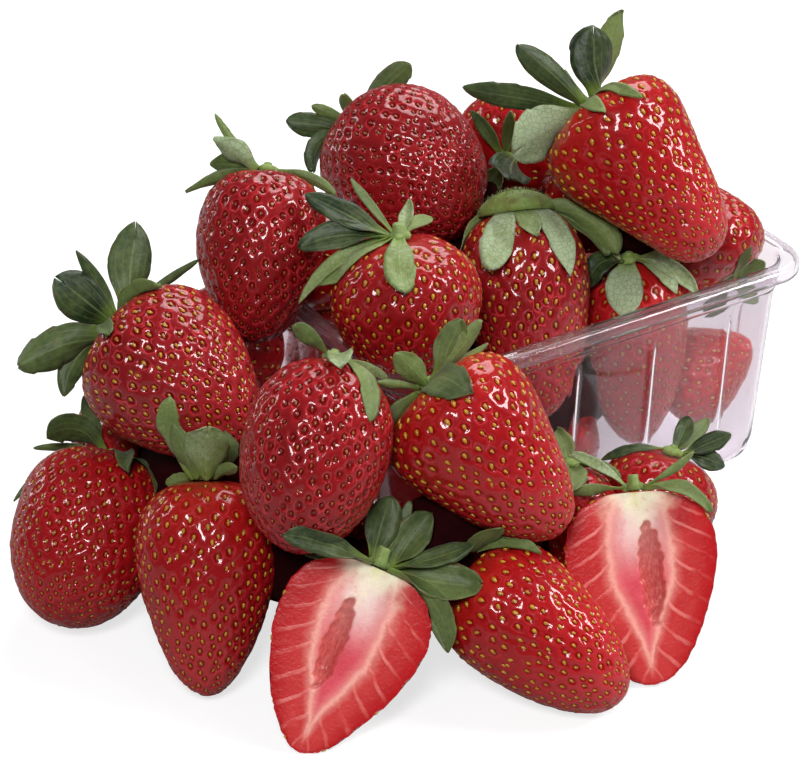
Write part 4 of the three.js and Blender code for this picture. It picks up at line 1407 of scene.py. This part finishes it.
sample_cap = turned(sample_form, CAP, CAP_SIDES, CAP_WOBBLE)
print("a cap has", len(sample_cap[1]), "triangles")

# %% Grow the leaves
def grow_leaves(label, shown):
    leaves = Gathered()
    for name, berry in shown.items():
        form = FORMS[name]
        for leaf, tone in zip(berry["leaves"], berry["tones"]):
            points, faces, masks = leaf_blade(form, leaf, form.random)
            leaves.add(points, faces, leaf_tone=tone, **masks)
        if berry["leaves"]:
            add_cap(leaves, form, berry.get("stalk", PLAIN_STALK), name == WIDE_CAPPED,
                    "pocket" in berry)
    make_piece(f"{label}_leaves", leaves, LEAF)


grow_leaves("punnet", IN_PUNNET)
grow_leaves("spill", SPILLED)

# %% [markdown]
# ## The cut halves
#
# A knife through the axis shows the inside: red flesh at the rim, a pale heart
# with a hollow, and pale threads that run out to the seeds. The skin is the
# same as on the whole berries, cut by a plane. One flat polygon would close it,
# but the face is a fine net of triangles fitted to the cut edge, so it can sink
# at the hollow, and each point knows how far along and across it lies.

# %% Cut the skin
def longest_loop(edge):
    """The longest closed walk through the pairs of neighbours on the cut edge."""
    left, best = set(edge), []
    while left:
        loop, previous = [min(left)], None
        while True:
            left.discard(loop[-1])
            ahead = [v for v in edge[loop[-1]] if v != previous and v in left]
            if not ahead:
                break
            previous = loop[-1]
            loop.append(ahead[0])
        best = max(best, loop, key=len)
    return best


def cut_skin(form, skin):
    """The skin behind the knife, and its cut edge in order."""
    points, triangles, masks, (theta, turn) = berry_skin(form, skin, True)
    face, _ = cut_directions(form)
    mesh = bmesh.new()
    layers = {name: mesh.verts.layers.float.new(name) for name in masks}
    for place, point in enumerate(points):
        vertex = mesh.verts.new(point)
        for name, layer in layers.items():
            vertex[layer] = masks[name][place]
    mesh.verts.ensure_lookup_table()
    for triangle in triangles:
        mesh.faces.new([mesh.verts[int(corner)] for corner in triangle])
    everything = mesh.verts[:] + mesh.edges[:] + mesh.faces[:]
    bmesh.ops.bisect_plane(mesh, geom=everything, plane_co=Vector(form.middle),
                           plane_no=Vector(face), clear_outer=True)
    bmesh.ops.triangulate(mesh, faces=mesh.faces[:])
    mesh.verts.index_update()
    edge = {}
    for border in (e for e in mesh.edges if e.is_boundary):
        first, second = border.verts
        edge.setdefault(first.index, []).append(second.index)
        edge.setdefault(second.index, []).append(first.index)
    loop = longest_loop(edge)
    kept = np.array([v.co[:] for v in mesh.verts])
    faces = np.array([[v.index for v in f.verts] for f in mesh.faces])
    kept_masks = {name: np.array([v[layer] for v in mesh.verts])
                  for name, layer in layers.items()}
    mesh.free()
    return kept, faces, kept_masks, kept[loop], (theta, turn)


print("a cut through the top right berry would face",
      np.round(cut_directions(sample_form)[0], 2))

# %% The cut face
FACE_STEP = 0.45  # spacing of the cut face's points, mm
FACE_ROW = 0.87  # between two rows of points, in steps
FACE_JITTER = 0.06  # how far a point strays, in steps
EDGE_ROOM = 0.55  # no point comes nearer the cut edge than this, in steps
RIM_ROUNDING, RIM_REACH = 0.35, 0.8  # how deep and how far in the rim is rounded, mm
CUSHION, CUSHION_REACH = 0.22, 3  # how far the wet flesh stands out, and from where, mm
POCKET_RAGGED = 0.18  # how uneven the hollow's edge is
POCKET_WAVES = np.array([[0.9, 0.5], [-1.6, 0.8], [0.7, -1.9]])  # radians per mm
POCKET_SLOPE = 1.8  # how soon the hollow reaches its full depth
POCKET_RIDGES = 0.07  # how uneven its floor is, as a share of its depth
POCKET_DEPTH = 0.45  # of the solid's pocket, as torn flesh half fills it
WIDTH_BINS, BIN_HALF = 40, 1.5  # where the face's half width is measured, mm
SAME_POINT, ON_RIM = 1e-6, 1e-4  # mm within which two points are one, or one is on the rim


def half_width_curve(loop):
    """How wide the cut edge is at each height along the berry."""
    order = np.argsort(loop[:, 1])
    along, reach = loop[order, 1], np.abs(loop[order, 0])
    bins = np.linspace(along[0], along[-1], WIDTH_BINS)
    return bins, np.array([reach[np.abs(along - at) < BIN_HALF].max() for at in bins])


def cut_face(form, pocket, edge):
    """The flesh behind the knife, as points, triangles and masks."""
    face, across = cut_directions(form)
    local = edge - form.middle
    loop = np.stack([local @ across, local @ form.axis], axis=1)
    low, high = loop.min(axis=0), loop.max(axis=0)
    rows = np.arange(low[1], high[1], FACE_STEP * FACE_ROW)
    grid = [(x + (row % 2) * FACE_STEP / 2, y) for row, y in enumerate(rows)
            for x in np.arange(low[0], high[0], FACE_STEP)]
    grid = np.array(grid) + form.random.normal(size=(len(grid), 2)) * FACE_STEP * FACE_JITTER
    grid = grid[nearest_distance(grid, loop) > FACE_STEP * EDGE_ROOM]
    found = delaunay_2d_cdt([Vector(p) for p in np.vstack([loop, grid])], [],
                            [list(range(len(loop)))], 1, SAME_POINT)
    flat = np.array([p[:] for p in found[0]])
    faces = np.array([f for f in found[2] if len(f) == 3])
    rim = nearest_distance(flat, loop)
    ragged = np.cos(flat @ POCKET_WAVES.T).sum(axis=1) * 0.3
    from_pocket = np.stack([(flat[:, 0] - pocket["across"]) / (pocket["width"] / 2),
                            (flat[:, 1] - pocket["along"]) / (pocket["length"] / 2)], 1)
    in_pocket = np.clip(1 - np.linalg.norm(from_pocket, axis=1) - ragged * POCKET_RAGGED, 0, 1)
    hollow = np.clip(in_pocket * POCKET_SLOPE, 0, 1)
    depth = pocket["depth"] * POCKET_DEPTH * hollow ** 1.5 * (3 - 2 * hollow)
    depth = depth * (1 + POCKET_RIDGES * np.cos(flat[:, 0] * 4 + np.cos(flat[:, 1])))
    depth = depth + RIM_ROUNDING * np.clip(1 - rim / RIM_REACH, 0, 1) ** 2
    depth[rim < ON_RIM] = 0
    depth = depth - CUSHION * np.clip(rim / CUSHION_REACH, 0, 1)
    points = (form.middle + np.outer(flat[:, 0], across) + np.outer(flat[:, 1], form.axis)
              - np.outer(depth, face))
    points[:, 2] = np.maximum(points[:, 2], FLOOR_GAP)
    share = (flat[:, 1] - low[1]) / (high[1] - low[1])
    half = np.interp(flat[:, 1], *half_width_curve(loop))
    masks = dict(cut_along=share, cut_across=flat[:, 0] / np.maximum(half, 1.0),
                 cut_rim=rim, cut_pocket=in_pocket)
    used, faces = np.unique(turned_to(points, faces, face), return_inverse=True)
    masks = {name: values[used] for name, values in masks.items()}
    return points[used], faces.reshape(-1, 3), masks


print("a cut face has a point every", FACE_STEP, "mm, in rows",
      round(FACE_STEP * FACE_ROW, 2), "mm apart")

# %% [markdown]
# ## The cut flesh
#
# The colours change with the distance in from the skin and along the berry. A
# painted picture would have to be fitted to each half, so the material works
# from the face's own masks. The threads are a wave along the berry, bent back
# towards the rim, and shown only between the heart and the skin. Fine noise
# breaks every edge up, because flesh is made of grains.

# %% Cut flesh colours and threads
FLESH_INNER = rgb(208, 62, 62)  # outside the heart's line
FLESH_OUTER = rgb(184, 20, 26)  # under the skin
FLESH_RIM = rgb(178, 14, 22)
FLESH_HEART = rgb(226, 88, 104)
FLESH_LINE = rgb(250, 180, 166)
FLESH_THREAD = rgb(244, 146, 138)
FLESH_WHITE = rgb(255, 232, 224)
FLESH_CREAM = rgb(255, 244, 214)
FLESH_GREEN = rgb(224, 218, 124)
FLESH_POCKET = rgb(206, 96, 86)
FLESH_POCKET_DARK = rgb(180, 68, 62)
THREAD_COUNT = 9.0
THREAD_BEND = 1.5  # how far, in threads, each is bent back at the skin
HEART_HALF = 0.4  # the heart's half width, as a share of the half berry's


def flesh_threads(tree, along, aside, heart, grains):
    """Pale threads that run from the heart to the skin."""
    beyond = math_node(tree, "DIVIDE", math_node(tree, "SUBTRACT", aside, heart),
                       math_node(tree, "SUBTRACT", 1.0, heart), clamp=True)
    bend = math_node(tree, "MULTIPLY", math_node(tree, "POWER", beyond, 0.7), THREAD_BEND)
    phase = math_node(tree, "SUBTRACT", math_node(tree, "MULTIPLY", along, THREAD_COUNT), bend)
    phase = math_node(tree, "ADD", phase, math_node(tree, "MULTIPLY", grains, 0.3))
    wave = math_node(tree, "COSINE", math_node(tree, "MULTIPLY", phase, 2 * math.pi))
    line = rise(tree, wave, 0.72, 1.0)
    between = math_node(tree, "MULTIPLY", rise(tree, beyond, 0.0, 0.12),
                        fall(tree, beyond, 0.6, 1.0))
    return math_node(tree, "MULTIPLY", line, between)


print("the heart takes up", HEART_HALF, "of a half's width at the calyx")


# %% Cut flesh material
STREAKS_ACROSS, STREAKS_ALONG = 36.0, 34.0


def streak_places(tree, along):
    """Places on the cut face, so that noise there makes streaks in the hollow."""
    places = tree.nodes.new("ShaderNodeCombineXYZ")
    across = math_node(tree, "MULTIPLY", mask(tree, "cut_across"), STREAKS_ACROSS)
    tree.links.new(across, places.inputs[0])
    tree.links.new(math_node(tree, "MULTIPLY", along, STREAKS_ALONG), places.inputs[1])
    return places.outputs[0]


def flesh_material():
    made = material("strawberry_flesh")
    tree = made.node_tree
    along, pocket, rim = mask(tree, "cut_along"), mask(tree, "cut_pocket"), mask(tree, "cut_rim")
    # the heart widens towards the calyx, and grains and patches shift its line
    grains = math_node(tree, "SUBTRACT", noise(tree, 520, 4, 0.65), 0.5)
    broad = math_node(tree, "SUBTRACT", noise(tree, 150, 2), 0.5)
    uneven = math_node(tree, "MULTIPLY_ADD", grains, 0.1,
                       math_node(tree, "MULTIPLY", broad, 0.14))
    aside = math_node(tree, "ADD", math_node(tree, "ABSOLUTE", mask(tree, "cut_across")), uneven)
    heart = math_node(tree, "MULTIPLY", fall(tree, along, 0.42, 0.95), HEART_HALF)
    colour = colour_mix(tree, rise(tree, aside, 0.42, 1.0), FLESH_INNER, FLESH_OUTER)
    inside = rise(tree, math_node(tree, "SUBTRACT", heart, aside), -0.04, 0.08)
    colour = colour_mix(tree, math_node(tree, "MULTIPLY", inside, 0.9), colour, FLESH_HEART)
    mottled = math_node(tree, "MULTIPLY_ADD", broad, 1.2, 0.15, clamp=True)
    colour = colour_mix(tree, mottled, colour, FLESH_OUTER)
    # a pale line round the heart, and the threads beyond it
    apart = math_node(tree, "ABSOLUTE", math_node(tree, "SUBTRACT", aside, heart))
    line = math_node(tree, "MULTIPLY_ADD", fall(tree, apart, 0.0, 0.08), 0.42,
                     math_node(tree, "MULTIPLY", fall(tree, apart, 0.0, 0.2), 0.45))
    line = math_node(tree, "MULTIPLY", line, fall(tree, along, 0.86, 0.98))
    colour = colour_mix(tree, line, colour, FLESH_LINE)
    threads = flesh_threads(tree, along, aside, heart, grains)
    strength = math_node(tree, "MULTIPLY_ADD", broad, 2.2, 0.32, clamp=True)
    colour = colour_mix(tree, math_node(tree, "MULTIPLY", threads, strength), colour,
                        FLESH_THREAD)
    # a white wedge under the calyx, cream and then green at its edge
    wedge = math_node(tree, "MULTIPLY", fall(tree, along, 0.14, 0.48),
                      fall(tree, aside, 0.1, 0.46))
    colour = colour_mix(tree, math_node(tree, "MULTIPLY", wedge, 0.85), colour, FLESH_WHITE)
    reach = math_node(tree, "ADD", math_node(tree, "MULTIPLY_ADD", aside, 0.26, along),
                      math_node(tree, "MULTIPLY", broad, 0.2))
    colour = colour_mix(tree, fall(tree, reach, 0.06, 0.26), colour, FLESH_CREAM)
    colour = colour_mix(tree, math_node(tree, "MULTIPLY", fall(tree, reach, 0.0, 0.09), 0.6),
                        colour, FLESH_GREEN)
    # torn flesh in the hollow, and a red line under the skin
    streaks = noise(tree, 1.0, 3, 0.6, streak_places(tree, along))
    torn = colour_mix(tree, rise(tree, streaks, 0.35, 0.65), FLESH_POCKET_DARK, FLESH_POCKET)
    in_pocket = rise(tree, math_node(tree, "MULTIPLY_ADD", grains, 0.3, pocket), 0.0, 0.16)
    colour = colour_mix(tree, math_node(tree, "MULTIPLY", in_pocket, 0.8), colour, torn)
    near_skin = math_node(tree, "MULTIPLY", fall(tree, rim, 0.25, 0.8),
                          rise(tree, along, 0.03, 0.16))
    colour = colour_mix(tree, math_node(tree, "MULTIPLY", near_skin, 0.85), colour, FLESH_RIM)
    shader = shader_of(made, Roughness=0.32, Subsurface_Weight=0.25, Subsurface_Scale=0.0015,
                       Subsurface_Radius=(1.0, 0.35, 0.25), Specular_IOR_Level=0.2,
                       Coat_Weight=0.08, Coat_Roughness=0.12)
    tree.links.new(colour, shader.inputs["Base Color"])
    fine = bump(tree, noise(tree, 1100, 3, 0.6), 0.0003, 0.5)
    tree.links.new(bump(tree, threads, 0.0002, 0.3, fine), shader.inputs["Normal"])
    return made


FLESH = flesh_material()
print("flesh material has", len(FLESH.node_tree.nodes), "nodes")

# %% Make the halves
SEED_BEHIND = 0.15  # a seed this far behind the knife is kept, mm


def add_half(name, half):
    form = new_form(name, half["berry"])
    points, faces, masks, edge, (theta, turn) = cut_skin(form, half["skin"])
    skin = Gathered()
    skin.add(points, faces, ripeness=half["skin"][2], orange=half["skin"][4], **masks)
    make_piece(f"{name}_skin", skin, SKIN)
    face_points, face_faces, face_masks = cut_face(form, half["pocket"], edge)
    flesh = Gathered()
    flesh.add(face_points, face_faces, **face_masks)
    make_piece(f"{name}_flesh", flesh, FLESH, name)
    facing, _ = cut_directions(form)
    places, _ = form.point(theta, turn)
    behind = (places - form.middle) @ facing < -SEED_BEHIND
    seeds = Gathered()
    add_seeds(seeds, form, half["skin"], theta[behind], turn[behind], True)
    make_piece(f"{name}_seeds", seeds, SEED)


for half_name, half_berry in HALVES.items():
    add_half(half_name, half_berry)
grow_leaves("halves", HALVES)
print(len(HALVES), "halves made")

# %% [markdown]
# ## The middle of each heap, in painted shade
#
# Deep between the berries hardly any light comes back. More hidden berries
# could fill the gaps, but a few lumpy dark red cores close them with far fewer
# triangles, so that no daylight shows through where the real heap is packed.
# Their near-black red is painted shade.

# %% Cores
PUNNET_CORES = [  # middle and half size, mm
    ([-4, 1, 34], [46, 34, 30]), ([9, 27, 69], [10, 9, 9]), ([30, -16, 76], [13, 16, 14]),
    ([28, 32, 62], [10, 10, 12]), ([-18, 16, 66], [18, 16, 12])]
SPILL_CORES = [
    ([-98, -20, 30], [26, 50, 24]), ([-66, -72, 28], [32, 17, 22]),
    ([-18, -74, 16], [22, 14, 14]), ([-88, 34, 26], [14, 22, 16]),
    ([-93, -53, 47], [9, 8, 10])]
CORE_SHRINK = 2.5  # mm off each half size, as room for the berries' seeds
CORE_SIDES, CORE_RINGS = 28, 17
CORE_LUMPS = np.array([[7, 2, 1], [-3, 6, 2], [1, -4, 8]])  # waves over the ball
LUMP_HEIGHT = 0.03  # of the half size
# painted shade: the cores take the near-black red of the deep gaps
CORE_SHADE_RED = rgb(46, 4, 7)
CORE_SHADE_DARK = rgb(20, 2, 3)


def core_material():
    made = material("heap_painted_shade")
    tree = made.node_tree
    shader = shader_of(made, Roughness=0.8, Specular_IOR_Level=0.05)
    painted_shade = colour_mix(tree, mottling(tree, 80, 0.5), CORE_SHADE_DARK, CORE_SHADE_RED)
    tree.links.new(painted_shade, shader.inputs["Base Color"])
    tree.links.new(bump(tree, noise(tree, 120), 0.0006), shader.inputs["Normal"])
    return made


CORE = core_material()


def add_cores(label, cores):
    """A ball for each core, made from the seed's shape, with lumps on it."""
    gathered = Gathered()
    shape, faces = seed_shape(CORE_SIDES, CORE_RINGS)
    ball = unit(shape / np.array([SEED_LENGTH, SEED_WIDTH, SEED_HEIGHT]))
    lumps = 1 + LUMP_HEIGHT * np.cos(ball @ CORE_LUMPS.T).sum(1)
    for middle, half in cores:
        size = np.array(half) - CORE_SHRINK
        gathered.add(np.array(middle) + ball * size * lumps[:, None], faces)
    make_piece(f"{label}_middle", gathered, CORE)


add_cores("punnet", PUNNET_CORES)
add_cores("spill", SPILL_CORES)

# %% [markdown]
# ## The clear punnet
#
# The tray is one thin sheet of clear plastic, drawn down over a mould: a flat
# rim with its lip turned down, a plain band, a small step, then a sloping wall
# with a few upright ribs. The sheet could be a single surface given thickness
# by a modifier, but light bends at both faces, so it is built as a closed
# shell from its own middle line.

# %% The sheet's middle line
PUNNET = dict(length=140, width=105, height=68.4, sheet=0.8, corner=14, base_corner=7,
              flange=4.6, lip=3.6, bend=1.1, collar=8.4, step=0.6, wall_top=6.6,
              wall_foot=9.4, foot=6)  # mm
RIB = dict(depth=0.9, half_width=1.4, foot=9, top=56)  # mm
WALL_STEPS, FOOT_STEPS = 15, 9  # points down the sloping wall, and round its foot
BASE_INSETS = [26, 36, 46]  # where the flat base has points, mm in from the rim


def round_corners(line):
    """Cuts each corner of a line twice over, which rounds it."""
    for _ in range(2):
        near = line[:-1] * 0.75 + line[1:] * 0.25
        far = line[:-1] * 0.25 + line[1:] * 0.75
        middle = np.stack([near, far], 1).reshape(-1, 2)
        line = np.vstack([line[:1], middle[1:-1], line[-1:]])
    return line


def punnet_section():
    """The sheet's middle line from lip to base: how far in, and how high."""
    p = PUNNET
    half, rim = p["sheet"] / 2, p["height"] - p["sheet"] / 2
    inner = p["flange"] + p["bend"]
    top = np.array([
        [half, p["height"] - p["lip"]], [half, rim - p["bend"]], [half + p["bend"], rim],
        [(half + p["flange"]) / 2, rim], [p["flange"], rim], [inner, rim - p["bend"]],
        [inner, rim - p["collar"]], [inner + p["step"], rim - p["collar"] - p["bend"]],
        [p["wall_top"], RIB["top"]]])
    wall = np.linspace([p["wall_top"], RIB["top"]], [p["wall_foot"], RIB["foot"]], WALL_STEPS)
    turn = np.radians(np.linspace(0, 90, FOOT_STEPS))
    foot = np.stack([p["wall_foot"] + p["foot"] / 10 + p["foot"] * (1 - np.cos(turn)),
                     half + p["foot"] * (1 - np.sin(turn))], 1)
    base = np.array([[inset, half] for inset in BASE_INSETS])
    return np.vstack([round_corners(top), wall[1:], foot, base])


SECTION = punnet_section()
print("the sheet's section has", len(SECTION), "points")


# %% The ring of points at one height
LONG_WALL, SHORT_WALL = 50, 32.4  # half of each wall's straight part at the rim, mm
LONG_SIDE_RIBS = [-35, -9, 17, 43]
SHORT_SIDE_RIBS = [-26, 0, 26]
RIB_PLACES = [-2.2, -1.6, -1.1, -0.6, -0.25, 0, 0.25, 0.6, 1.1, 1.6, 2.2]  # mm from its middle
EVEN_STEP = 5  # mm between the other points of a wall
CLEAR_OF_RIB = 3  # none of them comes nearer a rib than this, mm
RIB_END = 2.5  # over how many mm a rib fades out at each end
CORNER_STEPS = 13
LEAST_CORNER = 0.5  # mm, as no corner may shrink to nothing


def offset_line(line, distance):
    """The line moved sideways, to one face of the sheet."""
    along = unit(np.gradient(line, axis=0))
    return line + np.stack([along[:, 1], -along[:, 0]], 1) * distance


def wall_places(reach, ribs):
    """Where a straight wall is sampled: evenly, and closely over each rib."""
    even = [x for x in np.linspace(-reach, reach, 2 * int(reach // EVEN_STEP) + 1)
            if min(abs(x - rib) for rib in ribs) > CLEAR_OF_RIB]
    return np.sort(np.concatenate([even, *(np.array(RIB_PLACES) + rib for rib in ribs)]))


def rib_depth(place, height, ribs):
    """How far the ribs stand out of a wall at these places."""
    apart = np.min(np.abs(place[:, None] - np.array(ribs)[None]), axis=1)
    across = np.clip(1 - apart / RIB["half_width"], 0, 1)
    ends = np.clip(min(height - RIB["foot"], RIB["top"] - height) / RIB_END, 0, 1)
    return RIB["depth"] * across * (2 - across) * ends


def shell_ring(inset, height):
    """Points once round the tray: four walls with their ribs, and the corners."""
    p = PUNNET
    share = min(inset / p["wall_foot"], 1)
    corner = p["corner"] + (p["base_corner"] - p["corner"]) * share
    corner = max(min(corner, p["width"] / 2 - inset - 1), LEAST_CORNER)
    points = []
    for side in range(4):
        if side % 2 == 0:
            run, out, reach, ribs = p["length"] / 2, p["width"] / 2, LONG_WALL, LONG_SIDE_RIBS
        else:
            run, out, reach, ribs = p["width"] / 2, p["length"] / 2, SHORT_WALL, SHORT_SIDE_RIBS
        if side == 2:  # the back wall's ribs face those of the front wall
            ribs = [-rib for rib in ribs]
        place = wall_places(reach, ribs)
        ridge = rib_depth(place, height, ribs)
        place = place * min(1, (run - inset - corner) / reach)
        wall = np.stack([place, -(out - inset + ridge)], 1)
        turn = np.radians(np.linspace(-90, 0, CORNER_STEPS))[1:-1]
        bend = np.stack([run - inset - corner + corner * np.cos(turn),
                         -(out - inset - corner) + corner * np.sin(turn)], 1)
        line = np.vstack([wall, bend])
        angle = math.pi / 2 * side
        spin = np.array([[math.cos(angle), math.sin(angle)],
                         [-math.sin(angle), math.cos(angle)]])
        points.append(line @ spin)
    flat = np.vstack(points)
    return np.column_stack([flat, np.full(len(flat), height)])


print("the rim has", len(shell_ring(*SECTION[0])), "points round it")


# %% The shell
def shell_surface(line):
    """One face of the sheet: a ring for each point of the line, and the base's middle."""
    rings = np.array([shell_ring(inset, height) for inset, height in line])
    rows, columns = rings.shape[:2]
    index = np.arange(rows * columns).reshape(rows, columns)
    after = np.roll(index, -1, axis=1)
    faces = grid_faces(index, after)
    middle = [[0, 0, line[-1][1]]]
    fan = np.stack([index[-1], after[-1], np.full(columns, rows * columns)], 1)
    return np.vstack([rings.reshape(-1, 3), middle]), np.vstack([faces, fan]), columns


def punnet_shell():
    """Both faces of the sheet, joined at the lip into one closed shell."""
    half = PUNNET["sheet"] / 2
    outer, faces, columns = shell_surface(offset_line(SECTION, half))
    inner, _, _ = shell_surface(offset_line(SECTION, -half))
    edge = np.arange(columns)
    after = np.roll(edge, -1)
    shift = len(outer)
    lip = np.vstack([np.stack([edge, shift + edge, after], 1),
                     np.stack([after, shift + edge, shift + after], 1)])
    points = np.vstack([outer, inner])
    triangles = np.vstack([faces, faces[:, ::-1] + shift, lip])
    corners = points[triangles]
    volume = np.einsum("ij,ij->i", corners[:, 0],
                       np.cross(corners[:, 1], corners[:, 2])).sum() / 6
    if volume < 0:
        triangles = triangles[:, ::-1]
    print("the sheet's plastic is", round(abs(volume) / 1000, 1), "cm3")
    return points, triangles


SHELL_POINTS, SHELL_TRIANGLES = punnet_shell()

# %% [markdown]
# ## Clear plastic
#
# The sheet is glass-like: light goes through it and bends, and its faces shine.
# Light from a lamp would have to find its way through by chance, which leaves
# the fruit dark, so for shadows alone the sheet is only tinted. It is never
# quite flat, and a faint bump lets the shine waver.

# %% Plastic material
PLASTIC_TINT = rgb(227, 221, 226)
SHADOW_TINT = (0.9, 0.89, 0.92, 1)


def plastic_material():
    made = material("clear_plastic")
    tree = made.node_tree
    shader = shader_of(made, Base_Color=PLASTIC_TINT, Roughness=0.06,
                       Transmission_Weight=0.985, IOR=1.45)
    flow = bump(tree, noise(tree, 60, 2), 0.0003, 0.12)
    tree.links.new(bump(tree, noise(tree, 900, 2), 0.00003, 0.2, flow),
                   shader.inputs["Normal"])
    clear = tree.nodes.new("ShaderNodeBsdfTransparent")
    clear.inputs["Color"].default_value = SHADOW_TINT
    path = tree.nodes.new("ShaderNodeLightPath")
    both = tree.nodes.new("ShaderNodeMixShader")
    tree.links.new(path.outputs["Is Shadow Ray"], both.inputs["Fac"])
    tree.links.new(shader.outputs["BSDF"], both.inputs[1])
    tree.links.new(clear.outputs["BSDF"], both.inputs[2])
    tree.links.new(both.outputs["Shader"], tree.nodes["Material Output"].inputs["Surface"])
    return made


PLASTIC = plastic_material()
shell = Gathered()
shell.add(SHELL_POINTS, SHELL_TRIANGLES)
make_piece("punnet_shell", shell, PLASTIC, "punnet")
